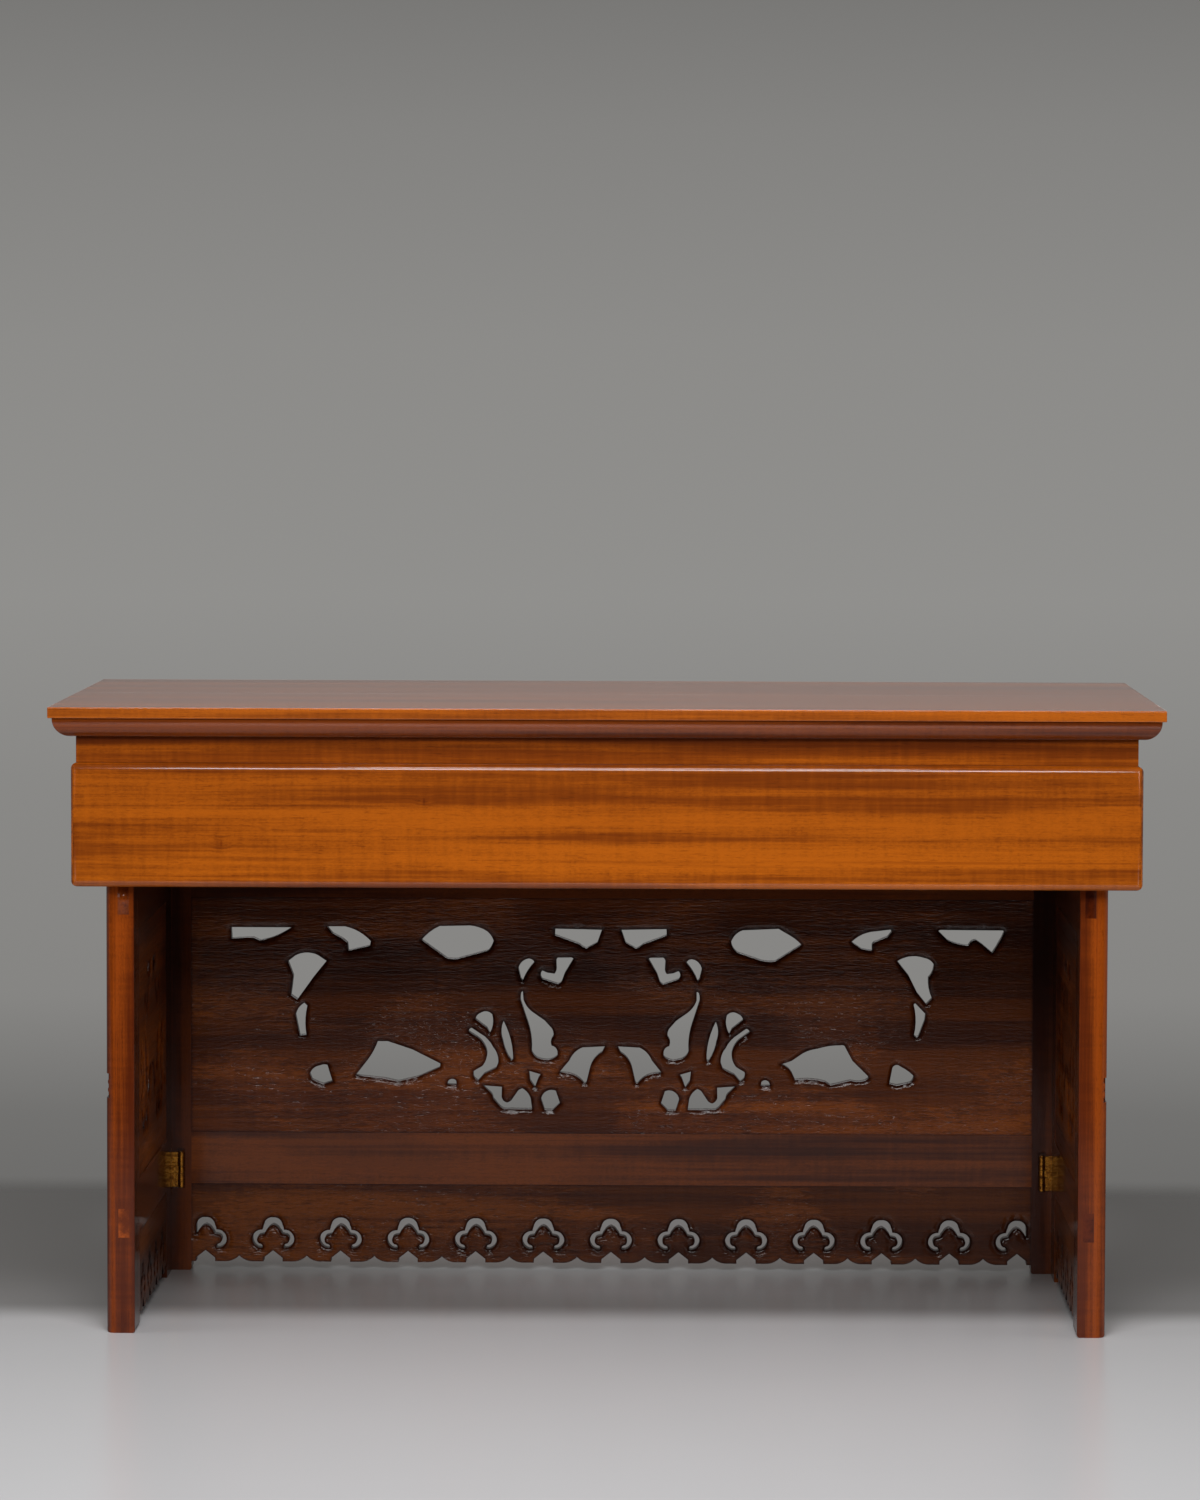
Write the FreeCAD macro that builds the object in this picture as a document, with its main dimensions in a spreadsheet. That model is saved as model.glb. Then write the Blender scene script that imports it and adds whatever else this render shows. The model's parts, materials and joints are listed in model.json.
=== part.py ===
import FreeCAD, Part

import math
import os
import re

# A low folding table. A three-fold screen of carved panels stands on the floor: a long front panel and two
# side panels hinged to its ends. A lid-like top, a thin plank top over a moulding, a waist and a deep apron,
# drops over the screen and rests on it. X runs along the table and Y across it, from the open side at -Y to
# the carved front at +Y. Z is up from the floor, and the origin is under the middle of the table. Lengths
# are millimetres. The right-hand pieces are mirror images of the left-hand ones.

DOCUMENT = FreeCAD.newDocument("folding_table")
Vector = FreeCAD.Vector
Rotation = FreeCAD.Rotation
X_AXIS = Vector(1, 0, 0)
Y_AXIS = Vector(0, 1, 0)
Z_AXIS = Vector(0, 0, 1)
ORIGIN = Vector(0, 0, 0)
QUARTER_TURN = 90

# Driving sizes
SIZES = {
    # the whole table
    "top_length": 700,
    "top_depth": 350,
    "table_height": 400,
    # the lid: planks, moulding frame, waist and apron
    "plank_thickness": 7,
    "plank_arris": 0.7,
    "moulding_setback": 2.5,
    "moulding_height": 12,
    "moulding_width": 50,
    "ovolo_radius": 11.5,
    "waist_height": 16.5,
    "waist_setback": 16.3,
    "apron_height": 78.5,
    "apron_setback": 13,
    "apron_thickness": 17.5,
    "apron_arris": 4.5,
    "apron_corner": 4,
    "batten_width": 40,
    "batten_spacing": 230,
    # the screen under the lid
    "lid_clearance": 2.5,
    "frame_thickness": 18,
    "front_stile_width": 31.5,
    "near_stile_width": 34,
    "far_stile_width": 36,
    "foot_height": 6,
    "scallop_height": 53.5,
    "lower_rail_height": 35,
    "panel_height": 160.5,
    "side_top_clearance": 0.5,
    "side_end_clearance": 0.3,
    "outer_arris": 6,
    "inner_arris": 1,
    "foot_arris": 2,
    # grooves, tenons and panels
    "groove_offset": 3.8,
    "groove_width": 6,
    "groove_depth": 8,
    "tongue_length": 7,
    "tenon_offset": 3.3,
    "tenon_thickness": 7,
    "lower_tenon_height": 18.4,
    "lower_tenon_rise": 1.5,
    "upper_tenon_share": 0.16,
    "upper_rise_share": 0.095,
    "blind_tenon_length": 24,
    "panel_thickness": 14,
    "panel_recess": 1.5,
    "scallop_thickness": 12,
    "scallop_recess": 1,
    "carving_margin": 4.5,
    "flower_share": 0.562,
    "side_flower_share": 0.705,
    # the scooped notch on the outer corners
    "notch_bottom": 150,
    "notch_height": 15.5,
    "notch_depth": 2.2,
    "notch_bead_radius": 2.6,
    "notch_bead_inset": 1,
    # the cloud scallops
    "scallop_pitch": 46,
    "scallop_end_web": 3,
    "cloud_width": 28.8,
    "cloud_height": 21.3,
    "cloud_rise": 8.8,
    "notch_peak": 7.6,
    "notch_shoulder": 2.5,
    "notch_half_width": 6.5,
    "cusp_height": 4,
    "cusp_run": 9,
    # the brass hinges
    "lower_hinge_rise": 7.8,
    "leaf_height": 34,
    "leaf_plate_width": 12,
    "leaf_thickness": 1.2,
    "barrel_inset": 6.5,
    "barrel_radius": 2.15,
    "knuckle_height": 9.2,
    "middle_knuckle_height": 4.6,
    "knuckle_gap": 0.3,
    "barrel_room": 0.5,
    "slot_room": 2.5,
    "pin_radius": 1.1,
    "pin_play": 0.05,
    "pin_overhang": 0.5,
    "screw_spacing": 24,
    "screw_head_radius": 2.3,
    "screw_radius": 1.1,
    "screw_length": 9,
    "screw_point": 2,
    # how far a cutter reaches past the piece that it cuts
    "overrun": 1,
}

# Places and sizes that follow from the driving sizes
PLACES = {
    "top_half_length": "top_length / 2",
    "top_half_depth": "top_depth / 2",
    "plank_underside": "table_height - plank_thickness",
    "lid_underside": "plank_underside - moulding_height",
    "waist_bottom": "lid_underside - waist_height",
    "apron_bottom": "waist_bottom - apron_height",
    "waist_thickness": "apron_setback + apron_thickness - waist_setback",
    "moulding_half_length": "top_half_length - moulding_setback",
    "moulding_half_depth": "top_half_depth - moulding_setback",
    "batten_half_length": "moulding_half_depth - moulding_width",
    "screen_half_length": "top_half_length - apron_setback - apron_thickness - lid_clearance",
    "screen_half_depth": "top_half_depth - apron_setback - apron_thickness - lid_clearance",
    "front_inner_y": "screen_half_depth - frame_thickness",
    "front_inner_half_length": "screen_half_length - front_stile_width",
    "side_inner_x": "screen_half_length - frame_thickness",
    "side_end_y": "front_inner_y - side_end_clearance",
    "near_rail_y": "near_stile_width - screen_half_depth",
    "far_rail_y": "side_end_y - far_stile_width",
    "side_opening": "far_rail_y - near_rail_y",
    "side_middle_y": "(far_rail_y + near_rail_y) / 2",
    "side_height": "lid_underside - side_top_clearance",
    "lower_rail_bottom": "foot_height + scallop_height",
    "panel_bottom": "lower_rail_bottom + lower_rail_height",
    "panel_top": "panel_bottom + panel_height",
    "lower_tenon_bottom": "lower_rail_bottom + lower_tenon_rise",
    "top_rail_height": "side_height - panel_top",
    "upper_tenon_height": "top_rail_height * upper_tenon_share",
    "first_upper_tenon_bottom": "panel_top + top_rail_height * upper_rise_share",
    "second_upper_tenon_bottom": "side_height - top_rail_height * upper_rise_share - upper_tenon_height",
    "flower_span": "front_inner_half_length * flower_share",
    "side_flower_span": "side_opening * side_flower_share",
    "hinge_lower_height": "lower_tenon_bottom + lower_hinge_rise",
    "hinge_upper_height": "panel_top + top_rail_height / 2",
    "hinge_x": "barrel_inset - side_inner_x",
    "hinge_y": "front_inner_y - side_end_clearance / 2",
    "barrel_height": "2 * (knuckle_height + knuckle_gap) + middle_knuckle_height",
}


def write_sheet(name, entries):
    """Keeps each named entry in a cell of its own, with its name as the cell's alias."""
    sheet = DOCUMENT.addObject("Spreadsheet::Sheet", name)
    for row, (alias, content) in enumerate(entries.items(), start=1):
        sheet.set(f"A{row}", alias)
        sheet.set(f"B{row}", content)
        sheet.setAlias(f"B{row}", alias)
    return sheet


def formula(words):
    """Turns a sum over plain size names into one over the sheets' cells."""

    def cell(found):
        name = found.group()
        sheet = "Sizes" if name in SIZES else "Places"
        return f"<<{sheet}>>.{name}"

    return re.sub(r"[a-z][a-z_]+", cell, words)


SIZE_SHEET = write_sheet("Sizes", {name: str(value) for name, value in SIZES.items()})
PLACE_SHEET = write_sheet("Places", {name: f"={formula(words)}" for name, words in PLACES.items()})
DOCUMENT.recompute()


def measure(words):
    """The value in millimetres of a sum over size names, for the shapes that are drawn point by point."""
    value = SIZE_SHEET.evalExpression(formula(words))
    return float(getattr(value, "Value", value))


def place(piece, low):
    """Ties a piece's position to three sums over size names."""
    for axis, words in zip("xyz", low):
        piece.setExpression(f"Placement.Base.{axis}", formula(words))
    return piece


def box(name, low, size):
    """A square-edged block from its lowest corner."""
    block = DOCUMENT.addObject("Part::Box", name)
    for side, words in zip(("Length", "Width", "Height"), size):
        block.setExpression(side, formula(words))
    return place(block, low)


def rod(name, start, radius, length, along="Z"):
    """A round bar that runs from its start along one axis."""
    bar = DOCUMENT.addObject("Part::Cylinder", name)
    bar.setExpression("Radius", formula(radius))
    bar.setExpression("Height", formula(length))
    if along == "X":
        bar.Placement.Rotation = Rotation(Y_AXIS, QUARTER_TURN)
    if along == "Y":
        bar.Placement.Rotation = Rotation(X_AXIS, -QUARTER_TURN)
    return place(bar, start)


def fuse(name, pieces):
    """Joins overlapping blocks into one solid."""
    joined = DOCUMENT.addObject("Part::MultiFuse", name)
    joined.Shapes = pieces
    joined.Refine = True
    return joined


def cut(name, base, cutters):
    """Takes the cutters out of a blank."""
    tool = cutters[0] if len(cutters) == 1 else fuse(f"{name}_cutters", cutters)
    result = DOCUMENT.addObject("Part::Cut", name)
    result.Base = base
    result.Tool = tool
    return result


def mirror(name, piece, normal=X_AXIS):
    """The mirror image of a piece about the table's middle plane."""
    image = DOCUMENT.addObject("Part::Mirroring", name)
    image.Source = piece
    image.Base = ORIGIN
    image.Normal = normal
    return image


SUB_PARTS = []


def keep(piece, label):
    """Names a finished piece as one of the table's sub-parts."""
    piece.Label = label
    SUB_PARTS.append(piece)
    return piece


def arris_cutter(name, along, start, length, radius, outward):
    """What a round plane takes off a corner: a square bar less the round that is left.

    start is on the axis of the round, and outward gives the way out on the two other axes.
    """
    sizes = {along: f"{length} + 2 * overrun"}
    lows = {along: f"{start[along]} - overrun"}
    for axis, way in outward.items():
        sizes[axis] = f"{radius} + overrun"
        lows[axis] = start[axis] if way > 0 else f"{start[axis]} - {radius} - overrun"
    bar = box(f"{name}_bar", [lows[axis] for axis in "XYZ"], [sizes[axis] for axis in "XYZ"])
    core_start = [lows[axis] if axis == along else start[axis] for axis in "XYZ"]
    core = rod(f"{name}_round", core_start, radius, sizes[along], along)
    cutter = DOCUMENT.addObject("Part::Cut", name)
    cutter.Base = bar
    cutter.Tool = core
    return cutter


# The lid


def mitred_bar(name, half_length, outer, thickness, bottom, height):
    """A bar along the near side with its ends mitred at 45 degrees, its long face outwards."""
    bar = DOCUMENT.addObject("Part::Wedge", name)
    limits = {
        "Xmin": f"-{half_length}",
        "Xmax": half_length,
        "X2min": f"{thickness} - {half_length}",
        "X2max": f"{half_length} - {thickness}",
        "Ymin": f"-{outer}",
        "Ymax": f"{thickness} - {outer}",
        "Zmin": bottom,
        "Z2min": bottom,
        "Zmax": f"{bottom} + {height}",
        "Z2max": f"{bottom} + {height}",
    }
    for side, words in limits.items():
        bar.setExpression(side, formula(words))
    return bar


def along_edge(name, half_length, outer, level, radius, way):
    """Rounds the outer long edge of a near bar at one level, on its top (way 1) or its bottom (way -1)."""
    start = {
        "X": f"-({half_length})",
        "Y": f"{radius} - {outer}",
        "Z": f"{level} - {radius}" if way > 0 else f"{level} + {radius}",
    }
    return arris_cutter(name, "X", start, f"2 * {half_length}", radius, {"Y": -1, "Z": way})


def at_corner(name, half_length, outer, bottom, height, radius, way):
    """Rounds the upright outer corner at one end of a near bar."""
    inner = f"{half_length} - {radius}"
    start = {
        "X": inner if way > 0 else f"-({inner})",
        "Y": f"{radius} - {outer}",
        "Z": bottom,
    }
    return arris_cutter(name, "Z", start, height, radius, {"X": way, "Y": -1})


def frame_of_four(part_name, near_piece, left_piece):
    """Turns the left bar onto its side and mirrors both, so that four mitred bars close a frame."""
    left_piece.Placement.Rotation = Rotation(Z_AXIS, -QUARTER_TURN)
    keep(near_piece, f"{part_name}_near")
    keep(mirror(f"{part_name}_far_image", near_piece, Y_AXIS), f"{part_name}_far")
    keep(left_piece, f"{part_name}_left")
    keep(mirror(f"{part_name}_right_image", left_piece, X_AXIS), f"{part_name}_right")


def moulding_bar(name, half_length, outer):
    """One bar of the moulding frame: a flat frame whose lower outer edge is a bold quarter round."""
    section = ("moulding_width", "lid_underside", "moulding_height")
    blank = mitred_bar(f"{name}_blank", half_length, outer, *section)
    ovolo = along_edge(f"{name}_ovolo", half_length, outer, "lid_underside", "ovolo_radius", -1)
    return cut(name, blank, [ovolo])


def waist_bar(name, half_length, outer):
    """One plain recessed strip between the moulding and the apron."""
    return mitred_bar(name, half_length, outer, "waist_thickness", "waist_bottom", "waist_height")


def apron_bar(name, half_length, outer):
    """One deep apron board with eased edges and a rounded corner at each end."""
    blank = mitred_bar(f"{name}_blank", half_length, outer, "apron_thickness", "apron_bottom", "apron_height")
    corner = ("apron_bottom", "apron_height", "apron_corner")
    cutters = [
        along_edge(f"{name}_top_edge", half_length, outer, "waist_bottom", "apron_arris", 1),
        along_edge(f"{name}_bottom_edge", half_length, outer, "apron_bottom", "apron_arris", -1),
        at_corner(f"{name}_first_corner", half_length, outer, *corner, -1),
        at_corner(f"{name}_last_corner", half_length, outer, *corner, 1),
    ]
    return cut(name, blank, cutters)


def plank(name):
    """The near half of the thin top, with the arrises of its three outer edges eased."""
    blank = box(
        f"{name}_blank",
        ("-top_half_length", "-top_half_depth", "plank_underside"),
        ("top_length", "top_half_depth", "plank_thickness"),
    )
    cutters = []
    for level, way, words in (("table_height", 1, "top"), ("plank_underside", -1, "bottom")):
        cutters.append(
            along_edge(f"{name}_{words}_edge", "top_half_length", "top_half_depth", level, "plank_arris", way)
        )
        for side, sign in (("left", -1), ("right", 1)):
            inner = "top_half_length - plank_arris"
            start = {
                "X": inner if sign > 0 else f"-({inner})",
                "Y": "-top_half_depth",
                "Z": f"{level} - plank_arris" if way > 0 else f"{level} + plank_arris",
            }
            outward = {"X": sign, "Z": way}
            cutters.append(
                arris_cutter(f"{name}_{words}_{side}", "Y", start, "top_half_depth", "plank_arris", outward)
            )
    return cut(name, blank, cutters)


def lid():
    """The lid: two planks, a moulding frame with two battens inside it, the waist and the apron."""
    near_plank = keep(plank("plank_near"), "plank_near")
    keep(mirror("plank_far_image", near_plank, Y_AXIS), "plank_far")
    frame_of_four(
        "moulding",
        moulding_bar("moulding_near_bar", "moulding_half_length", "moulding_half_depth"),
        moulding_bar("moulding_left_bar", "moulding_half_depth", "moulding_half_length"),
    )
    batten = box(
        "batten_left_bar",
        ("-(batten_spacing + batten_width) / 2", "-batten_half_length", "lid_underside"),
        ("batten_width", "2 * batten_half_length", "moulding_height"),
    )
    keep(batten, "batten_left")
    keep(mirror("batten_right_image", batten), "batten_right")
    frame_of_four(
        "waist",
        waist_bar("waist_near_bar", "(top_half_length - waist_setback)", "(top_half_depth - waist_setback)"),
        waist_bar("waist_left_bar", "(top_half_depth - waist_setback)", "(top_half_length - waist_setback)"),
    )
    frame_of_four(
        "apron",
        apron_bar("apron_near_bar", "(top_half_length - apron_setback)", "(top_half_depth - apron_setback)"),
        apron_bar("apron_left_bar", "(top_half_depth - apron_setback)", "(top_half_length - apron_setback)"),
    )


# Outlines that are drawn point by point


def outline_edge(start, end, bend, turn):
    """A straight edge, or an arc whose height is the bend as a share of its chord, bulging outwards."""
    if bend == 0:
        return Part.LineSegment(start, end).toShape()
    chord = end - start
    outward = Vector(chord.y, -chord.x, 0) * turn
    crown = (start + end) * (1 / 2) + outward * bend
    return Part.Arc(start, crown, end).toShape()


def outline_face(points):
    """The flat face inside a closed outline of (across, up, bend) points, drawn in the XY plane."""
    corners = [Vector(across, up, 0) for across, up, _ in points]
    following = corners[1:] + corners[:1]
    area = sum(a.x * b.y - b.x * a.y for a, b in zip(corners, following))
    turn = math.copysign(1, area)
    edges = [
        outline_edge(start, end, bend, turn)
        for start, end, (_, _, bend) in zip(corners, following, points)
    ]
    return Part.Face(Part.Wire(edges))


def outline(shares, wide, tall, way=1):
    """Scales an outline's shares to real sizes, or to their mirror image."""
    points = [(entry[0] * wide, entry[1] * tall, entry[2] if len(entry) > 2 else 0) for entry in shares]
    if way > 0:
        return points
    bends = [bend for _, _, bend in points]
    turned = bends[-1:] + bends[:-1]
    return [(-across, up, bend) for (across, up, _), bend in reversed(list(zip(points, turned)))]


# Piercings beside the panel's middle, right half: shares of the flower's span, up from the panel's foot
FLOWER_SHARES = (
    # clipped wedge under the top rail
    ((0.040, 0.866), (0.231, 0.870), (0.232, 0.842), (0.133, 0.805, 0.05), (0.103, 0.787), (0.059, 0.811)),
    # hooked leaf tip
    (
        (0.156, 0.742, 0.15), (0.168, 0.748), (0.218, 0.749, 0.1), (0.227, 0.735), (0.225, 0.700, -0.1),
        (0.234, 0.679), (0.262, 0.683), (0.283, 0.692, 0.2), (0.283, 0.656), (0.218, 0.635, 0.1),
        (0.204, 0.646), (0.192, 0.681),
    ),
    # small crescent
    ((0.316, 0.727, 0.2), (0.346, 0.741, 0.15), (0.381, 0.699), (0.371, 0.657), (0.364, 0.648, -0.05)),
    # tall leaf with a drawn-out tip
    (
        (0.360, 0.603, 0.2), (0.369, 0.599, 0.05), (0.372, 0.564), (0.341, 0.470, -0.05),
        (0.326, 0.349, 0.15), (0.283, 0.315, 0.12), (0.225, 0.326, 0.15), (0.221, 0.341, 0.2), (0.245, 0.373),
        (0.248, 0.387, -0.1), (0.238, 0.413, 0.1), (0.245, 0.448), (0.273, 0.480), (0.322, 0.515, -0.08),
        (0.360, 0.568),
    ),
    # thin leaf
    ((0.441, 0.477, 0.1), (0.444, 0.393, 0.05), (0.413, 0.310, 0.2), (0.402, 0.314, 0.06)),
    # bud
    ((0.488, 0.505, 0.2), (0.535, 0.511, 0.15), (0.556, 0.484), (0.509, 0.447), (0.498, 0.424, 0.1)),
    # forked stem
    (
        (0.570, 0.448, 0.2), (0.584, 0.430), (0.549, 0.407, -0.1), (0.509, 0.344, -0.1), (0.528, 0.285),
        (0.563, 0.264, 0.1), (0.560, 0.234), (0.546, 0.222), (0.521, 0.251), (0.472, 0.276),
        (0.463, 0.299, 0.1), (0.483, 0.365, 0.05), (0.518, 0.411),
    ),
    # lower leaf
    (
        (0.026, 0.371), (0.119, 0.366, 0.1), (0.171, 0.312), (0.213, 0.259), (0.178, 0.256, -0.1),
        (0.112, 0.214, 0.2), (0.101, 0.219), (0.087, 0.282, -0.1), (0.038, 0.346),
    ),
    # small wedge
    ((0.289, 0.251), (0.337, 0.265), (0.332, 0.223), (0.313, 0.195), (0.299, 0.235)),
    # pebble
    (
        (0.210, 0.128), (0.227, 0.181, 0.1), (0.259, 0.182, 0.15), (0.287, 0.144), (0.273, 0.100),
        (0.239, 0.099),
    ),
    # boat with a curled end
    (
        (0.324, 0.102), (0.330, 0.148, 0.1), (0.364, 0.191, 0.1), (0.385, 0.176), (0.406, 0.144, -0.1),
        (0.427, 0.130, -0.15), (0.449, 0.155), (0.448, 0.197), (0.527, 0.203), (0.497, 0.174, -0.1),
        (0.483, 0.146), (0.455, 0.111), (0.441, 0.102),
    ),
    # dot
    ((0.633, 0.205), (0.635, 0.222, 0.2), (0.663, 0.226, 0.1), (0.671, 0.206)),
)

# The flower's left half was cut this much wider than its right half
LEFT_FLOWER_SHARE = 1.035

# Piercings at the right end: shares of half the opening and of the panel's height
RIGHT_END_SHARES = (
    # lens
    (
        (0.284, 0.818, 0.12), (0.311, 0.866), (0.396, 0.873), (0.423, 0.845, 0.04), (0.451, 0.805),
        (0.389, 0.735, 0.05), (0.354, 0.738), (0.299, 0.771, 0.12),
    ),
    # big leaf
    (
        (0.403, 0.297), (0.429, 0.313), (0.455, 0.345, 0.05), (0.490, 0.365, 0.04), (0.547, 0.380, 0.1),
        (0.554, 0.377), (0.573, 0.314), (0.608, 0.253, 0.2), (0.610, 0.235, 0.1), (0.569, 0.230),
        (0.521, 0.209), (0.508, 0.224, -0.05), (0.437, 0.231), (0.429, 0.262, -0.1),
    ),
    # top cloud
    (
        (0.775, 0.866, 0.15), (0.781, 0.871), (0.929, 0.870), (0.931, 0.862), (0.923, 0.830), (0.904, 0.774),
        (0.877, 0.814), (0.864, 0.830, -0.1), (0.852, 0.820), (0.846, 0.805, 0.05), (0.797, 0.828),
    ),
    # top wing
    (
        (0.569, 0.818, 0.08), (0.616, 0.862), (0.663, 0.872), (0.664, 0.860), (0.655, 0.840),
        (0.624, 0.818, -0.1), (0.618, 0.806), (0.618, 0.781), (0.592, 0.790),
    ),
    # axe
    (
        (0.678, 0.738, 0.12), (0.742, 0.752, 0.12), (0.765, 0.724, 0.1), (0.752, 0.668, -0.06),
        (0.761, 0.579), (0.748, 0.554), (0.726, 0.603), (0.706, 0.675),
    ),
    # sliver
    (
        (0.718, 0.553, 0.3), (0.723, 0.558), (0.746, 0.514), (0.744, 0.486), (0.730, 0.420, 0.3),
        (0.719, 0.425, -0.06),
    ),
    # half round
    (
        (0.668, 0.284, 0.3), (0.687, 0.290, 0.05), (0.718, 0.252, 0.15), (0.710, 0.222), (0.679, 0.209),
        (0.661, 0.217),
    ),
)

# Piercings at the left end, cut by hand as near mirror images of the right ones
LEFT_END_SHARES = (
    # lens
    (
        (-0.452, 0.820, 0.06), (-0.409, 0.879), (-0.337, 0.882, 0.06), (-0.297, 0.859, 0.08),
        (-0.281, 0.818, 0.06), (-0.293, 0.776), (-0.366, 0.740, 0.04), (-0.391, 0.742),
    ),
    # big leaf
    (
        (-0.609, 0.243), (-0.579, 0.312, -0.04), (-0.556, 0.389), (-0.532, 0.389), (-0.473, 0.354),
        (-0.407, 0.295), (-0.408, 0.279), (-0.461, 0.237), (-0.508, 0.217), (-0.544, 0.231),
    ),
    # top cloud
    (
        (-0.905, 0.871), (-0.760, 0.871), (-0.780, 0.850, 0.05), (-0.837, 0.815), (-0.853, 0.828),
        (-0.904, 0.823),
    ),
    # top wing
    (
        (-0.678, 0.876), (-0.634, 0.876, 0.08), (-0.573, 0.814), (-0.575, 0.794), (-0.626, 0.773),
        (-0.628, 0.806), (-0.642, 0.826), (-0.664, 0.847),
    ),
    # axe
    (
        (-0.770, 0.727), (-0.752, 0.752, 0.12), (-0.699, 0.754), (-0.678, 0.729), (-0.709, 0.661),
        (-0.748, 0.564), (-0.763, 0.583), (-0.757, 0.666),
    ),
    # sliver
    ((-0.752, 0.500, 0.1), (-0.731, 0.551), (-0.724, 0.539, -0.05), (-0.726, 0.414), (-0.742, 0.413)),
    # half round
    (
        (-0.718, 0.248, 0.15), (-0.693, 0.285, 0.1), (-0.676, 0.287), (-0.664, 0.217), (-0.687, 0.204),
        (-0.713, 0.225),
    ),
)

# The cloud piercing's left half from its crown to the tongue's: shares of its half width and of its height
CLOUD_SHARES = (
    (0.000, 1.000, 0.20), (-0.440, 0.760, 0.05), (-0.510, 0.600, 0.45), (-0.660, 0.003),
    (-0.560, 0.000, 0.25), (-0.510, 0.090, 0.15), (-0.650, 0.150, -0.30), (-0.640, 0.420),
    (-0.420, 0.455, -0.06), (-0.290, 0.600, -0.10), (0.000, 0.755),
)


def cloud_points(middle):
    """One whole cloud piercing: the left half from its crown to its tongue, then the mirror image back up."""
    wide = measure("cloud_width / 2")
    tall = measure("cloud_height")
    left = outline(CLOUD_SHARES, wide, tall)
    right = outline(CLOUD_SHARES, wide, tall, -1)
    rise = measure("cloud_rise")
    return [(middle + across, rise + up, bend) for across, up, bend in left[:-1] + right[:-1]]


# How far the lower edge's round stretches bulge beside a cusp, as a share of their chord
CUSP_BEND_SHARE = 0.1


def lower_edge_points(half_width, first_middle):
    """The scalloped lower edge from left to right: a peaked notch under each cloud and a cusp between two."""
    pitch = measure("scallop_pitch")
    notch = measure("notch_half_width")
    shoulder = measure("notch_shoulder")
    peak = measure("notch_peak")
    cusp = measure("cusp_height")
    run = measure("cusp_run")
    points = []
    count = math.ceil((half_width + pitch) / pitch)
    for step in range(-count, count + 1):
        middle = first_middle + step * pitch
        points += [
            (middle - pitch / 2, cusp, CUSP_BEND_SHARE),
            (middle - pitch / 2 + run, 0, 0),
            (middle - notch, 0, 0),
            (middle - notch, shoulder, 0),
            (middle, peak, 0),
            (middle + notch, shoulder, 0),
            (middle + notch, 0, 0),
            (middle + pitch / 2 - run, 0, CUSP_BEND_SHARE),
        ]
    return points


def face_prism(face, thickness):
    """Stands a flat outline face up as a board: across becomes X, up becomes Z, and depth runs along +Y."""
    board = face.extrude(Vector(0, 0, -thickness))
    board.rotate(ORIGIN, X_AXIS, QUARTER_TURN)
    return board


def block(low, size):
    """A plain block for the shapes that are drawn point by point."""
    return Part.makeBox(size[0], size[1], size[2], Vector(*low))


def rectangle_face(half_width, bottom, top):
    """A flat upright rectangle about the middle, for clipping outlines."""
    left, right = -half_width, half_width
    return outline_face([(left, bottom, 0), (right, bottom, 0), (right, top, 0), (left, top, 0)])


def tongued(board, half_width, height, tongue_y, below):
    """Adds the tongues that a board's edges hold in the frame's grooves, cut short at the corners."""
    reach = measure("tongue_length")
    low_reach = reach if below else 0
    depth = measure("groove_width")
    across = block((-half_width - reach, tongue_y, 0), (2 * (half_width + reach), depth, height))
    upright = block((-half_width, tongue_y, -low_reach), (2 * half_width, depth, height + low_reach + reach))
    inside = block((-half_width, tongue_y, 0), (2 * half_width, depth, height))
    return board.fuse([across.cut(inside), upright.cut(inside)]).removeSplitter()


def carved_board(outlines, half_width):
    """A pierced board with tongues on all its edges, its inner face towards -Y at Y = 0."""
    height = measure("panel_height")
    thickness = measure("panel_thickness")
    solid = block((-half_width, 0, 0), (2 * half_width, thickness, height))
    groove_y = measure("groove_offset - panel_recess")
    solid = tongued(solid, half_width, height, groove_y, True)
    limit = rectangle_face(half_width - measure("carving_margin"), 0, height)
    holes = []
    for points in outlines:
        for face in outline_face(points).common(limit).Faces:
            hole = face_prism(face, thickness + measure("2 * overrun"))
            hole.translate(Vector(0, -measure("overrun"), 0))
            holes.append(hole)
    solid = solid.cut(Part.makeCompound(holes))
    return solid


def scalloped_board(half_width, first_middle):
    """The cloud-pierced apron under the lower rail, its inner face towards -Y at Y = 0."""
    height = measure("scallop_height")
    thickness = measure("scallop_thickness")
    lower = lower_edge_points(half_width, first_middle)
    far = lower[-1][0]
    sheet = outline_face([*lower[:-1], (far, 0, 0), (far, height, 0), (lower[0][0], height, 0)])
    sheet = sheet.common(rectangle_face(half_width, -measure("overrun"), height))
    web = half_width - measure("scallop_end_web")
    limit = rectangle_face(web, 0, height)
    pitch = measure("scallop_pitch")
    count = math.ceil(half_width / pitch)
    for step in range(-count, count + 1):
        cloud = outline_face(cloud_points(first_middle + step * pitch)).common(limit)
        if cloud.Faces:
            sheet = sheet.cut(cloud)
    solid = face_prism(sheet, thickness)
    groove_y = measure("groove_offset - scallop_recess")
    return tongued(solid, half_width, height, groove_y, False)


def drawn_piece(name, shape, position, turn=0):
    """Puts a point-drawn board in its place, turned about its own upright axis."""
    piece = DOCUMENT.addObject("Part::Feature", name)
    piece.Shape = shape
    piece.Placement = FreeCAD.Placement(position, Rotation(Z_AXIS, turn))
    return piece


# The screen's frames


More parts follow.
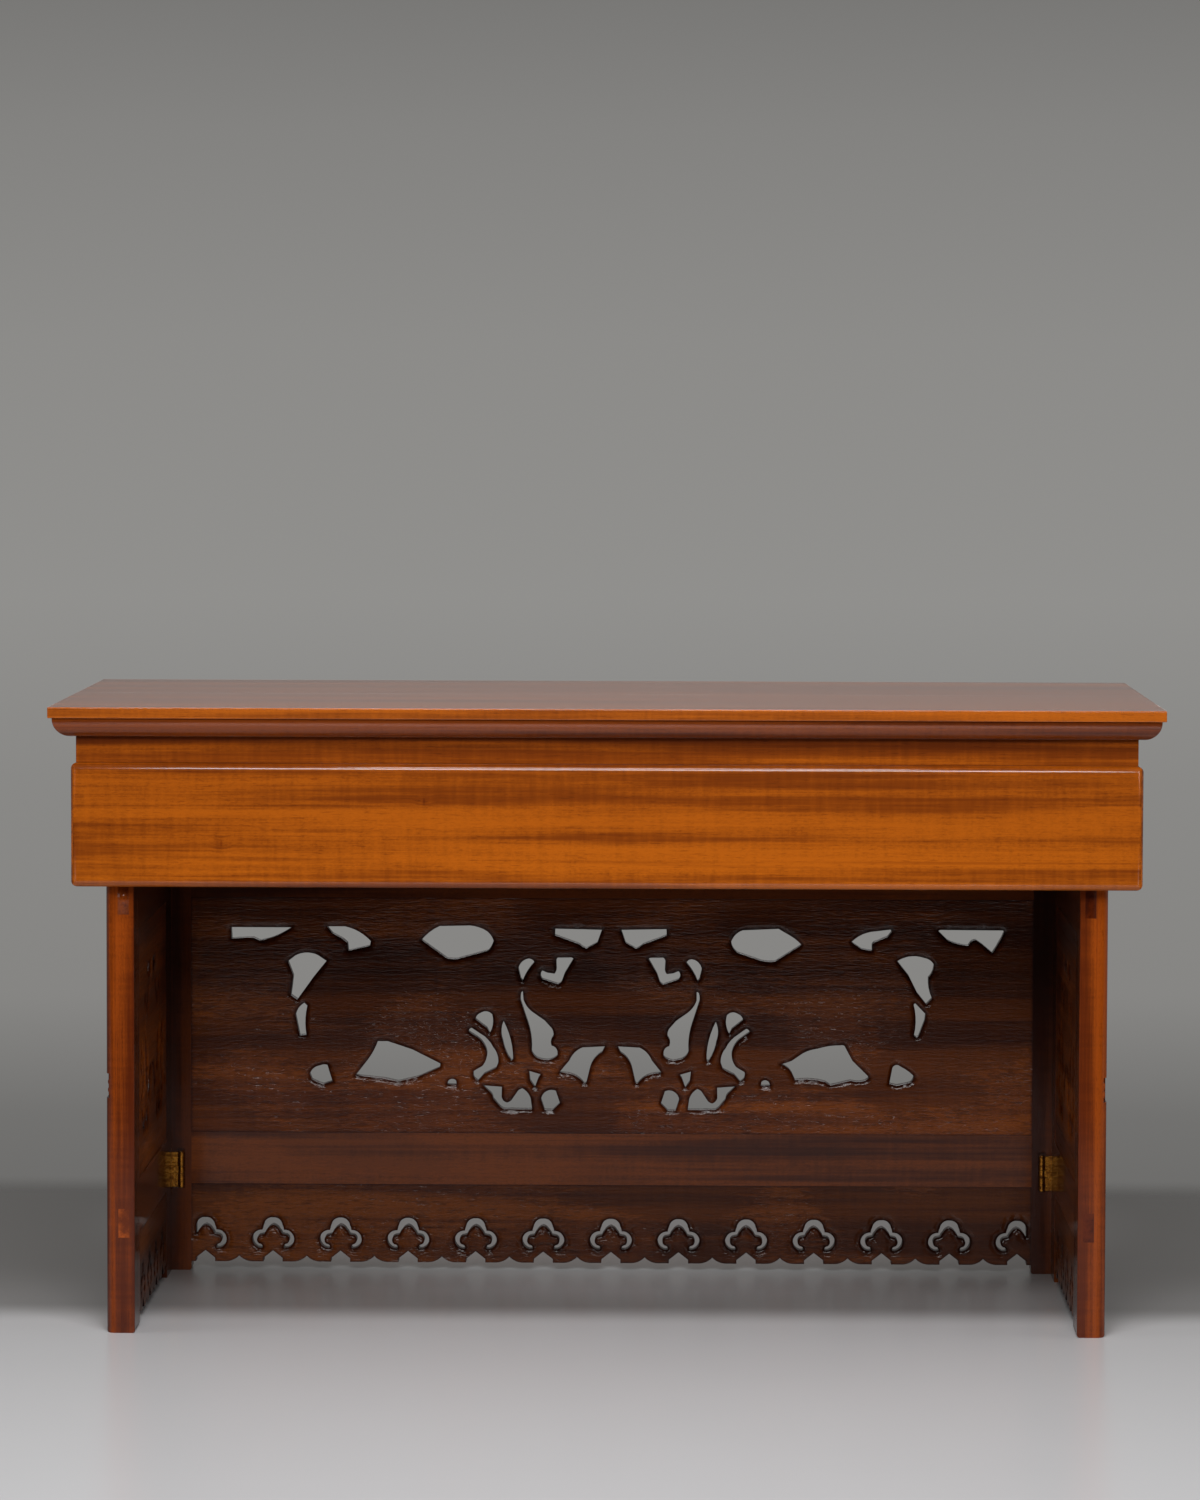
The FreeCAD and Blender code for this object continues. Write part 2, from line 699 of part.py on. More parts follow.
def notch_cutters(name, low, size, bead_along, outward_axis, face):
    """A shallow slot across the outer corner with two half-round beads left standing in it."""
    slot = box(f"{name}_slot", low, size)
    beads = []
    for number, share_words in enumerate(("notch_height / 3", "2 * notch_height / 3"), start=1):
        start = dict(zip("XYZ", low))
        start["Z"] = f"notch_bottom + {share_words}"
        start[outward_axis] = face
        length = dict(zip("XYZ", size))[bead_along]
        first = [start[axis] for axis in "XYZ"]
        beads.append(rod(f"{name}_bead_{number}", first, "notch_bead_radius", length, bead_along))
    return cut(f"{name}_scoops", slot, beads)


def front_stile():
    """The left upright of the front panel, grooved for the boards and mortised for the rails and hinges."""
    height = "lid_underside"
    blank = box(
        "front_stile_blank",
        ("-screen_half_length", "front_inner_y", "0"),
        ("front_stile_width", "frame_thickness", height),
    )
    groove_x = "-front_inner_half_length - groove_depth"
    groove_y = "front_inner_y + groove_offset"
    cutters = [
        box(
            "front_stile_panel_groove",
            (groove_x, groove_y, "panel_bottom"),
            ("groove_depth + overrun", "groove_width", "panel_height"),
        ),
        box(
            "front_stile_scallop_groove",
            (groove_x, groove_y, "foot_height"),
            ("groove_depth + overrun", "groove_width", "scallop_height"),
        ),
        arris_cutter(
            "front_stile_outer_round",
            "Z",
            {"X": "outer_arris - screen_half_length", "Y": "screen_half_depth - outer_arris", "Z": "0"},
            height,
            "outer_arris",
            {"X": -1, "Y": 1},
        ),
        arris_cutter(
            "front_stile_foot_round",
            "Y",
            {"X": "-front_inner_half_length - foot_arris", "Y": "front_inner_y", "Z": "foot_arris"},
            "frame_thickness",
            "foot_arris",
            {"X": 1, "Z": -1},
        ),
        notch_cutters(
            "front_stile_notch",
            ("-screen_half_length - overrun", "screen_half_depth - notch_depth", "notch_bottom"),
            ("front_stile_width / 2 + overrun", "notch_depth + overrun", "notch_height"),
            "X",
            "Y",
            "screen_half_depth - notch_bead_radius - notch_bead_inset",
        ),
    ]
    cutters += rail_mortises(
        "front_stile",
        ("-screen_half_length - overrun", "front_inner_y + tenon_offset"),
        ("front_stile_width + 2 * overrun", "tenon_thickness"),
    )
    for level in ("lower", "upper"):
        cutters += front_hinge_seat(level)
    keep(cut("front_stile_left_piece", blank, cutters), "front_stile_left")
    keep(mirror("front_stile_right_image", SUB_PARTS[-1]), "front_stile_right")


def rail_tenon_levels():
    """The name, foot and height of each tenon, shared by the mortises and the rails."""
    return (
        ("lower", "lower_tenon_bottom", "lower_tenon_height"),
        ("first_upper", "first_upper_tenon_bottom", "upper_tenon_height"),
        ("second_upper", "second_upper_tenon_bottom", "upper_tenon_height"),
    )


def rail_mortises(name, low, size):
    """The mortises that take the rails' tenons in one stile."""
    return [
        box(f"{name}_{level}_mortise", (low[0], low[1], bottom), (size[0], size[1], height))
        for level, bottom, height in rail_tenon_levels()
    ]


def front_hinge_seat(level):
    """What one hinge needs in the front stile: the leaf's bed, the barrel's slot and the screw holes."""
    middle = f"hinge_{level}_height"
    bed = box(
        f"front_{level}_hinge_bed",
        ("-side_inner_x - leaf_plate_width", "front_inner_y - overrun", f"{middle} - leaf_height / 2"),
        ("leaf_plate_width", "leaf_thickness + overrun", "leaf_height"),
    )
    strap_bed = box(
        f"front_{level}_strap_bed",
        ("-side_inner_x", "front_inner_y - overrun", f"{middle} - barrel_height / 2 - barrel_room"),
        ("barrel_inset", "leaf_thickness + overrun", "barrel_height + 2 * barrel_room"),
    )
    slot = box(
        f"front_{level}_hinge_slot",
        (
            "hinge_x - barrel_radius - barrel_room",
            "front_inner_y - overrun",
            f"{middle} - barrel_height / 2 - barrel_room",
        ),
        (
            "2 * (barrel_radius + barrel_room)",
            "barrel_radius + barrel_room + overrun",
            "barrel_height + barrel_room + slot_room",
        ),
    )
    return [bed, strap_bed, slot, *screw_holes(f"front_{level}", middle, "front_inner_y", 1)]


def screw_places(middle):
    """The two heights of a leaf's screws about the hinge's middle."""
    return (f"{middle} - screw_spacing / 2", f"{middle} + screw_spacing / 2")


def screw_holes(name, middle, face_y, way):
    """The holes for one leaf's two screws, from the leaf's outer face into the wood (way 1 is +Y)."""
    holes = []
    for number, height in enumerate(screw_places(middle), start=1):
        start_y = face_y if way > 0 else f"{face_y} - screw_length"
        holes.append(
            rod(
                f"{name}_screw_hole_{number}",
                ("-side_inner_x - leaf_plate_width / 2", start_y, height),
                "screw_radius",
                "screw_length",
                "Y",
            )
        )
        holes.append(countersink(f"{name}_screw_sink_{number}", height, face_y, way))
    return holes


def countersink(name, height, face_y, way):
    """The cone of one screw's head, its wide end flush with the leaf's outer face."""
    cone = DOCUMENT.addObject("Part::Cone", name)
    cone.setExpression("Radius1", formula("screw_head_radius"))
    cone.setExpression("Radius2", formula("screw_radius"))
    cone.setExpression("Height", formula("leaf_thickness"))
    cone.Placement.Rotation = Rotation(X_AXIS, -way * QUARTER_TURN)
    return place(cone, ("-side_inner_x - leaf_plate_width / 2", face_y, height))


def screw(name, height, face_y, way):
    """One countersunk wood screw with a pointed end."""
    head = countersink(f"{name}_head", height, face_y, way)
    straight = "screw_length - screw_point"
    start_y = face_y if way > 0 else f"{face_y} - ({straight})"
    place_x = "-side_inner_x - leaf_plate_width / 2"
    shank = rod(f"{name}_shank", (place_x, start_y, height), "screw_radius", straight, "Y")
    point = DOCUMENT.addObject("Part::Cone", f"{name}_point")
    point.setExpression("Radius1", formula("screw_radius"))
    point.setExpression("Radius2", formula("0"))
    point.setExpression("Height", formula("screw_point"))
    point.Placement.Rotation = Rotation(X_AXIS, -way * QUARTER_TURN)
    point_y = f"{face_y} + {straight}" if way > 0 else f"{face_y} - ({straight})"
    place(point, (place_x, point_y, height))
    return fuse(name, [head, shank, point])


def front_rail(name, label, bottom, height, tenons, groove_below, groove_above):
    """A rail of the front panel with a through tenon at each end and grooves for the panels."""
    body = box(
        f"{name}_body",
        ("-front_inner_half_length", "front_inner_y", bottom),
        ("2 * front_inner_half_length", "frame_thickness", height),
    )
    tongues = [
        box(
            f"{name}_{level}_tenon",
            ("-screen_half_length", "front_inner_y + tenon_offset", tenon_bottom),
            ("2 * screen_half_length", "tenon_thickness", tenon_height),
        )
        for level, tenon_bottom, tenon_height in tenons
    ]
    blank = fuse(f"{name}_blank", [body, *tongues])
    grooves = rail_grooves(
        name,
        ("-front_inner_half_length", "front_inner_y + groove_offset"),
        ("2 * front_inner_half_length", "groove_width"),
        (bottom, height),
        groove_below,
        groove_above,
    )
    keep(cut(f"{name}_piece", blank, grooves), label)


def rail_grooves(name, low, size, levels, groove_below, groove_above):
    """The grooves along a rail's lower and upper edges."""
    bottom, height = levels
    grooves = []
    if groove_below:
        grooves.append(
            box(
                f"{name}_groove_below",
                (low[0], low[1], f"{bottom} - overrun"),
                (size[0], size[1], "groove_depth + overrun"),
            )
        )
    if groove_above:
        grooves.append(
            box(
                f"{name}_groove_above",
                (low[0], low[1], f"{bottom} + {height} - groove_depth"),
                (size[0], size[1], "groove_depth + overrun"),
            )
        )
    return grooves


def front_boards():
    """The carved panel and the scalloped apron of the front."""
    half = measure("front_inner_half_length")
    tall = measure("panel_height")
    span = measure("flower_span")
    outlines = []
    for shares in FLOWER_SHARES:
        outlines += [outline(shares, span, tall), outline(shares, span * LEFT_FLOWER_SHARE, tall, -1)]
    outlines += [outline(shares, half, tall) for shares in (*RIGHT_END_SHARES, *LEFT_END_SHARES)]
    panel_place = Vector(0, measure("front_inner_y + panel_recess"), measure("panel_bottom"))
    keep(drawn_piece("front_panel_board", carved_board(outlines, half), panel_place), "front_carved_panel")
    scallop_place = Vector(0, measure("front_inner_y + scallop_recess"), measure("foot_height"))
    keep(drawn_piece("front_scallop_board", scalloped_board(half, 0), scallop_place), "front_scalloped_apron")


def front_panel():
    """The front panel: two stiles, two rails, the carved panel and the scalloped apron."""
    front_stile()
    lower, *uppers = rail_tenon_levels()
    lower_levels = ("lower_rail_bottom", "lower_rail_height")
    front_rail("front_lower", "front_lower_rail", *lower_levels, [lower], True, True)
    top_levels = ("panel_top", "lid_underside - panel_top")
    front_rail("front_top", "front_top_rail", *top_levels, uppers, True, False)
    front_boards()


def near_stile():
    """The open-side upright of the left panel, with its rounded outer corner and scooped notch."""
    blank = box(
        "near_stile_blank",
        ("-screen_half_length", "-screen_half_depth", "0"),
        ("frame_thickness", "near_stile_width", "side_height"),
    )
    groove_x = "-side_inner_x - groove_offset - groove_width"
    inner_edge = {"X": "-side_inner_x - inner_arris", "Y": "inner_arris - screen_half_depth", "Z": "0"}
    outer_edge = {"X": "outer_arris - screen_half_length", "Y": "outer_arris - screen_half_depth", "Z": "0"}
    cutters = [
        box(
            "near_stile_panel_groove",
            (groove_x, "near_rail_y - groove_depth", "panel_bottom"),
            ("groove_width", "groove_depth + overrun", "panel_height"),
        ),
        box(
            "near_stile_scallop_groove",
            (groove_x, "near_rail_y - groove_depth", "foot_height"),
            ("groove_width", "groove_depth + overrun", "scallop_height"),
        ),
        arris_cutter("near_stile_outside", "Z", outer_edge, "side_height", "outer_arris", {"X": -1, "Y": -1}),
        arris_cutter("near_stile_inside", "Z", inner_edge, "side_height", "inner_arris", {"X": 1, "Y": -1}),
        arris_cutter(
            "near_stile_foot_outside",
            "Y",
            {"X": "foot_arris - screen_half_length", "Y": "-screen_half_depth", "Z": "foot_arris"},
            "near_stile_width",
            "foot_arris",
            {"X": -1, "Z": -1},
        ),
        arris_cutter(
            "near_stile_foot_inside",
            "Y",
            {"X": "-side_inner_x - foot_arris", "Y": "-screen_half_depth", "Z": "foot_arris"},
            "near_stile_width",
            "foot_arris",
            {"X": 1, "Z": -1},
        ),
        notch_cutters(
            "near_stile_notch",
            ("-screen_half_length - overrun", "-screen_half_depth - overrun", "notch_bottom"),
            ("notch_depth + overrun", "near_stile_width / 2 + overrun", "notch_height"),
            "Y",
            "X",
            "notch_bead_radius + notch_bead_inset - screen_half_length",
        ),
    ]
    cutters += rail_mortises(
        "near_stile",
        ("-side_inner_x - tenon_offset - tenon_thickness", "-screen_half_depth - overrun"),
        ("tenon_thickness", "near_stile_width + 2 * overrun"),
    )
    return cut("left_near_stile_piece", blank, cutters)


def far_stile():
    """The hinged upright of the left panel."""
    blank = box(
        "far_stile_blank",
        ("-screen_half_length", "far_rail_y", "0"),
        ("frame_thickness", "far_stile_width", "side_height"),
    )
    groove_x = "-side_inner_x - groove_offset - groove_width"
    cutters = [
        box(
            "far_stile_panel_groove",
            (groove_x, "far_rail_y - overrun", "panel_bottom"),
            ("groove_width", "groove_depth + overrun", "panel_height"),
        ),
        box(
            "far_stile_scallop_groove",
            (groove_x, "far_rail_y - overrun", "foot_height"),
            ("groove_width", "groove_depth + overrun", "scallop_height"),
        ),
    ]
    cutters += rail_mortises(
        "far_stile",
        ("-side_inner_x - tenon_offset - tenon_thickness", "far_rail_y - overrun"),
        ("tenon_thickness", "blind_tenon_length + overrun"),
    )
    for level in ("lower", "upper"):
        middle = f"hinge_{level}_height"
        cutters.append(
            box(
                f"side_{level}_hinge_bed",
                (
                    "-side_inner_x - leaf_plate_width",
                    "side_end_y - leaf_thickness",
                    f"{middle} - leaf_height / 2",
                ),
                ("leaf_plate_width + overrun", "leaf_thickness + overrun", "leaf_height"),
            )
        )
        cutters += screw_holes(f"side_{level}", middle, "side_end_y", -1)
    return cut("left_far_stile_piece", blank, cutters)


def side_rail(name, bottom, height, tenons, groove_below, groove_above):
    """A rail of the left panel: through tenons at the open side, blind ones at the hinged stile."""
    body = box(
        f"{name}_body",
        ("-screen_half_length", "near_rail_y", bottom),
        ("frame_thickness", "side_opening", height),
    )
    tongues = [
        box(
            f"{name}_{level}_tenon",
            ("-side_inner_x - tenon_offset - tenon_thickness", "-screen_half_depth", tenon_bottom),
            ("tenon_thickness", "near_stile_width + side_opening + blind_tenon_length", tenon_height),
        )
        for level, tenon_bottom, tenon_height in tenons
    ]
    blank = fuse(f"{name}_blank", [body, *tongues])
    grooves = rail_grooves(
        name,
        ("-side_inner_x - groove_offset - groove_width", "near_rail_y"),
        ("groove_width", "side_opening"),
        (bottom, height),
        groove_below,
        groove_above,
    )
    return cut(f"{name}_piece", blank, grooves)


SIDE_FLOWER_HEIGHT_SHARE = 0.86


def side_boards():
    """The left panel's carved board and scalloped apron, turned so that their inner faces look inwards."""
    half = measure("side_opening / 2")
    tall = measure("panel_height")
    span = measure("side_flower_span")
    rise = (1 - SIDE_FLOWER_HEIGHT_SHARE) / 2
    outlines = []
    for shares in FLOWER_SHARES:
        raised = [(entry[0], rise + entry[1] * SIDE_FLOWER_HEIGHT_SHARE, *entry[2:]) for entry in shares]
        outlines += [outline(raised, span, tall), outline(raised, span, tall, -1)]
    middle_y = measure("side_middle_y")
    panel_place = Vector(-measure("side_inner_x + panel_recess"), middle_y, measure("panel_bottom"))
    scallop_place = Vector(-measure("side_inner_x + scallop_recess"), middle_y, measure("foot_height"))
    half_pitch = measure("scallop_pitch / 2")
    return (
        drawn_piece("left_panel_board", carved_board(outlines, half), panel_place, QUARTER_TURN),
        drawn_piece("left_scallop_board", scalloped_board(half, half_pitch), scallop_place, QUARTER_TURN),
    )


def side_panels():
    """The left side panel and its mirror image."""
    lower, *uppers = rail_tenon_levels()
    board, scallop = side_boards()
    pieces = {
        "near_stile": near_stile(),
        "far_stile": far_stile(),
        "top_rail": side_rail("side_top", "panel_top", "top_rail_height", uppers, True, False),
        "lower_rail": side_rail("side_lower", "lower_rail_bottom", "lower_rail_height", [lower], True, True),
        "carved_panel": board,
        "scalloped_apron": scallop,
        "hinge_leaves": side_leaves(),
        "hinge_pins": hinge_pins(),
        "hinge_screws": side_screws(),
    }
    for name, piece in pieces.items():
        keep(piece, f"left_{name}")
        keep(mirror(f"right_{name}_image", piece), f"right_{name}")


# The hinges


def knuckle(name, bottom, height, bore):
    """One barrel knuckle on the hinge's axis, still to be bored."""
    return (
        rod(f"{name}_round", ("hinge_x", "hinge_y", bottom), "barrel_radius", height),
        rod(f"{name}_bore", ("hinge_x", "hinge_y", f"{bottom} - overrun"), bore, f"{height} + 2 * overrun"),
    )


def group(name, pieces):
    """Several alike solids that share one node."""
    together = DOCUMENT.addObject("Part::Compound", name)
    together.Links = pieces
    return together


def front_leaf(level):
    """The leaf on the front stile: a plate let in flush, and the barrel's outer two knuckles."""
    middle = f"hinge_{level}_height"
    name = f"front_{level}_leaf"
    plate = box(
        f"{name}_plate",
        ("-side_inner_x - leaf_plate_width", "front_inner_y", f"{middle} - leaf_height / 2"),
        ("leaf_plate_width", "leaf_thickness", "leaf_height"),
    )
    solids = [plate]
    bores = []
    for end, bottom in (
        ("lower", f"{middle} - barrel_height / 2"),
        ("upper", f"{middle} + middle_knuckle_height / 2 + knuckle_gap"),
    ):
        solids.append(
            box(
                f"{name}_{end}_strap",
                ("-side_inner_x", "front_inner_y", bottom),
                ("barrel_inset", "leaf_thickness", "knuckle_height"),
            )
        )
        solid, bore = knuckle(f"{name}_{end}_knuckle", bottom, "knuckle_height", "pin_radius + pin_play")
        solids.append(solid)
        bores.append(bore)
    blank = fuse(f"{name}_blank", solids)
    return cut(name, blank, bores + screw_holes(name, middle, "front_inner_y", 1))


def side_leaf(level):
    """The leaf on the side panel's end: a plate let in flush, and the barrel's middle knuckle."""
    middle = f"hinge_{level}_height"
    name = f"side_{level}_leaf"
    plate = box(
        f"{name}_plate",
        ("-side_inner_x - leaf_plate_width", "side_end_y - leaf_thickness", f"{middle} - leaf_height / 2"),
        ("leaf_plate_width", "leaf_thickness", "leaf_height"),
    )
    bottom = f"{middle} - middle_knuckle_height / 2"
    strap = box(
        f"{name}_strap",
        ("-side_inner_x", "side_end_y - leaf_thickness", bottom),
        ("barrel_inset", "leaf_thickness", "middle_knuckle_height"),
    )
    solid, bore = knuckle(f"{name}_knuckle", bottom, "middle_knuckle_height", "pin_radius")
    blank = fuse(f"{name}_blank", [plate, strap, solid])
    return cut(name, blank, [bore, *screw_holes(name, middle, "side_end_y", -1)])


def side_leaves():
    """Both leaves on the left panel."""
    return group("left_side_leaves", [side_leaf("lower"), side_leaf("upper")])


def hinge_pins():
    """The two hinge pins, tight in the middle knuckles and free in the outer ones."""
    pins = [
        rod(
            f"{level}_pin",
            ("hinge_x", "hinge_y", f"hinge_{level}_height - barrel_height / 2 - pin_overhang"),
            "pin_radius",
            "barrel_height + 2 * pin_overhang",
        )
        for level in ("lower", "upper")
    ]
    return group("left_pins", pins)


def leaf_screws(name, face_y, way):
    """The four screws of two leaves."""
    screws = []
    for level in ("lower", "upper"):
        for number, height in enumerate(screw_places(f"hinge_{level}_height"), start=1):
            screws.append(screw(f"{name}_{level}_screw_{number}", height, face_y, way))
    return screws


def side_screws():
    """The screws that hold the side leaves."""
    return group("left_side_screws", leaf_screws("side", "side_end_y", -1))


def front_hinge_pieces():
    """The front leaves and their screws at both ends of the front panel."""
    left_leaves = group("left_front_leaves", [front_leaf("lower"), front_leaf("upper")])
    left_screws = group("left_front_screws", leaf_screws("front", "front_inner_y", 1))
    right_leaves = mirror("right_front_leaves", left_leaves)
    right_screws = mirror("right_front_screws", left_screws)
    keep(group("both_front_leaves", [left_leaves, right_leaves]), "front_hinge_leaves")
    keep(group("both_front_screws", [left_screws, right_screws]), "front_hinge_screws")


# Building, checking and writing


def check():
    """Stops the build if any object failed or any sub-part has no sound shape."""
    for item in DOCUMENT.Objects:
        if "Invalid" in item.State or "Error" in item.State:
            raise RuntimeError(f"{item.Name} failed: {item.State}")
    for piece in SUB_PARTS:
        if piece.Shape.isNull() or not piece.Shape.isValid() or not piece.Shape.Solids:
            raise RuntimeError(f"{piece.Label} has no sound shape")


def write():
    """Writes each sub-part's shape to a file of its own name."""
    os.makedirs("parts", exist_ok=True)
    for piece in SUB_PARTS:
        piece.Shape.exportStep(f"parts/{piece.Label}.step")
        print(f"{piece.Label}: {len(piece.Shape.Solids)} solids, {piece.Shape.Volume:.0f} mm3")


lid()
front_panel()
front_hinge_pieces()
side_panels()
DOCUMENT.recompute()
check()
write()
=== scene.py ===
"""Dresses a low folding table: a lift-off lid over a three-part carved screen with brass hinges.

Lengths are metres unless a name says millimetres. X runs along the table, -Y is the open side and Z is up.
"""

import json
import logging
import math
from dataclasses import dataclass, field, replace
from enum import Enum

import bmesh
import bpy
import numpy as np
from mathutils import Matrix, Vector, kdtree, noise
from mathutils.geometry import delaunay_2d_cdt

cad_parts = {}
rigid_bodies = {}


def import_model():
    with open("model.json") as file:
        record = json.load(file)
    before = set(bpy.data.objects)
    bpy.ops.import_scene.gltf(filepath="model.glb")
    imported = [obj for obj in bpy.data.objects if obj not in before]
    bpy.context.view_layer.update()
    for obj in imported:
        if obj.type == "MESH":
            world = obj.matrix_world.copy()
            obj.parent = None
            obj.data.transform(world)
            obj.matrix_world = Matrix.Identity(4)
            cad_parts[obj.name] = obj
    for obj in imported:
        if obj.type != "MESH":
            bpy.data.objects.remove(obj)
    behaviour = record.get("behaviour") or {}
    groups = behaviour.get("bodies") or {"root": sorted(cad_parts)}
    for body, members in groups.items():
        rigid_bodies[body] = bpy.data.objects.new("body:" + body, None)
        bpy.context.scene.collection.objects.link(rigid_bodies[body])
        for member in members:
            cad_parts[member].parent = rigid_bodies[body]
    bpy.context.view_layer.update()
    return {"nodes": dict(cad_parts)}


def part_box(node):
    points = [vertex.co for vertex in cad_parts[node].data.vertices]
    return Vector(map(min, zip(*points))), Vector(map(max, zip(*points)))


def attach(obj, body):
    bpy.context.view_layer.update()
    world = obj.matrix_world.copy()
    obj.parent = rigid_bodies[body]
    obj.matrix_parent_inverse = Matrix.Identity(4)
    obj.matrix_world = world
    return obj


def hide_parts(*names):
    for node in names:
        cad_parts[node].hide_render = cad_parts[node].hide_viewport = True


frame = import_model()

LOG = logging.getLogger("folding_table")
MM = 0.001
SHARP_ANGLE = math.radians(38)
MERGE_DISTANCE = 0.01 * MM
FLAT_ANGLE = math.radians(0.6)
SAME_PLACE = 0.05 * MM
FINE_STEP = 0.4 * MM
TOO_CLOSE = 0.35
TINY = 1e-12
Colour = tuple[float, float, float]
Triple = tuple[float, float, float]


class Way(Enum):
    """The direction in which a board's grain runs."""

    ALONG = 0
    ACROSS = 1
    UPRIGHT = 2


class Side(Enum):
    """The two ends of the table, with the sign of X there."""

    LEFT = -1
    RIGHT = 1


# Node trees


@dataclass(frozen=True)
class Pattern:
    """Cloudy noise: how often it changes per metre along each axis, and its finer layers."""

    stretch: Triple
    detail: float
    rough: float


@dataclass
class Nodes:
    """Builds a shader or geometry node tree with short calls."""

    tree: bpy.types.NodeTree

    def add(self, kind: str, inputs: dict | None = None, **settings: object) -> bpy.types.Node:
        """Adds one node.

        Args:
            kind: the node's type name.
            inputs: values or output sockets, keyed by input name or number.
            settings: properties of the node itself.

        Returns:
            The new node.
        """
        node = self.tree.nodes.new(kind)
        for name, value in settings.items():
            setattr(node, name, value)
        for key, value in (inputs or {}).items():
            self.feed(node.inputs[key], value)
        return node

    def feed(self, socket: bpy.types.NodeSocket, value: object) -> None:
        """Links an output socket into an input, or sets a plain value there.

        Args:
            socket: the input.
            value: an output socket, or a plain value.
        """
        if isinstance(value, bpy.types.NodeSocket):
            self.tree.links.new(value, socket)
        else:
            socket.default_value = value

    def math(self, operation: str, first: object, second: object = 0.0) -> bpy.types.NodeSocket:
        """The result of one arithmetic step on two numbers or sockets."""
        return self.add("ShaderNodeMath", {0: first, 1: second}, operation=operation).outputs[0]

    def vector(self, operation: str, first: object, second: object) -> bpy.types.NodeSocket:
        """The vector that one arithmetic step on two vectors gives."""
        return self.add("ShaderNodeVectorMath", {0: first, 1: second}, operation=operation).outputs[0]

    def length(self, vector: object) -> bpy.types.NodeSocket:
        """The length of a vector."""
        return self.add("ShaderNodeVectorMath", {0: vector}, operation="LENGTH").outputs["Value"]

    def bump(self, height: object) -> bpy.types.NodeSocket:
        """The surface direction that a height in metres gives."""
        return self.add("ShaderNodeBump", {"Height": height, "Distance": 1.0}).outputs[0]

    def total(self, *parts: tuple[object, float]) -> bpy.types.NodeSocket:
        """The sum of several sockets, each times its own share.

        Args:
            parts: pairs of a socket or number and its share.

        Returns:
            The sum.
        """
        result = 0.0
        for socket, share in parts:
            result = self.math("ADD", result, self.math("MULTIPLY", socket, share))
        return result

    def blend(
        self, factor: object, first: object, second: object, kind: str = "MIX"
    ) -> bpy.types.NodeSocket:
        """The blend of two colours.

        Args:
            factor: 0 for the first colour and 1 for the second.
            first: the first colour.
            second: the second colour.
            kind: the way in which they are blended.

        Returns:
            The blended colour.
        """
        node = self.add("ShaderNodeMix", data_type="RGBA", blend_type=kind)
        for number, value in ((0, factor), (6, first), (7, second)):
            self.feed(node.inputs[number], value)
        return node.outputs[2]

    def tint(self, factor: object, colour: object, by: Colour) -> bpy.types.NodeSocket:
        """A colour that is multiplied by another where the factor is 1."""
        return self.blend(factor, colour, rgba(by), "MULTIPLY")

    def noise(self, vector: object, pattern: Pattern) -> bpy.types.NodeSocket:
        """The noise of a pattern.

        Args:
            vector: the coordinates.
            pattern: the noise's scales.

        Returns:
            The noise, from 0 to 1.
        """
        inputs = {
            "Vector": self.vector("MULTIPLY", vector, pattern.stretch),
            "Scale": 1.0,
            "Detail": pattern.detail,
            "Roughness": pattern.rough,
        }
        return self.add("ShaderNodeTexNoise", inputs).outputs["Fac"]

    def ramp(self, value: object, low: float, high: float) -> bpy.types.NodeSocket:
        """Turns a range of values into 0 to 1, smoothly."""
        inputs = {"Value": value, "From Min": low, "From Max": high}
        return self.add("ShaderNodeMapRange", inputs, interpolation_type="SMOOTHSTEP").outputs[0]

    def attribute(self, name: str, output: str = "Fac") -> bpy.types.NodeSocket:
        """A value that the mesh carries."""
        return self.add("ShaderNodeAttribute", attribute_name=name).outputs[output]


def rgba(colour: Colour) -> tuple[float, float, float, float]:
    """A colour with full alpha."""
    return (*colour, 1.0)


def new_material(name: str) -> tuple[bpy.types.Material, Nodes, bpy.types.Node]:
    """An empty material.

    Args:
        name: the material's name.

    Returns:
        The material, its node builder and its main shader node.
    """
    material = bpy.data.materials.new(name)
    material.use_nodes = True
    material.node_tree.nodes.clear()
    nodes = Nodes(material.node_tree)
    shader = nodes.add("ShaderNodeBsdfPrincipled")
    nodes.add("ShaderNodeOutputMaterial", {"Surface": shader.outputs[0]})
    return material, nodes, shader


# Finishes

# The wood's patterns; their axes run along, across and through the board
BANDS = Pattern((1.6, 50.0, 50.0), 4.0, 0.6)
STREAKS = Pattern((5.0, 360.0, 360.0), 3.0, 0.6)
DARK_LINES = Pattern((2.4, 260.0, 260.0), 1.0, 0.5)
FIBRES = Pattern((24.0, 1700.0, 1700.0), 2.0, 0.6)
PORES = Pattern((120.0, 1500.0, 1500.0), 1.0, 0.5)
RIPPLE = Pattern((230.0, 30.0, 30.0), 2.0, 0.6)
FLECKS = Pattern((500.0, 1100.0, 1100.0), 2.0, 0.7)
FILM_SWELL = Pattern((11.0, 70.0, 70.0), 1.0, 0.4)
LONG_SCRAPES = Pattern((70.0, 520.0, 520.0), 2.0, 0.6)
SHORT_SCRAPES = Pattern((190.0, 1000.0, 1000.0), 2.0, 0.6)
SCRAPED_PATCHES = Pattern((9.0, 16.0, 16.0), 1.0, 0.5)

# The brass's and the floor's patterns; their axes are the table's
BRASS_SPOTS = Pattern((520.0, 520.0, 520.0), 4.0, 0.6)
BRUSHED_LINES = Pattern((2600.0, 2600.0, 160.0), 2.0, 0.5)
FLOOR_CLOUDS = Pattern((9.0, 9.0, 9.0), 3.0, 0.5)


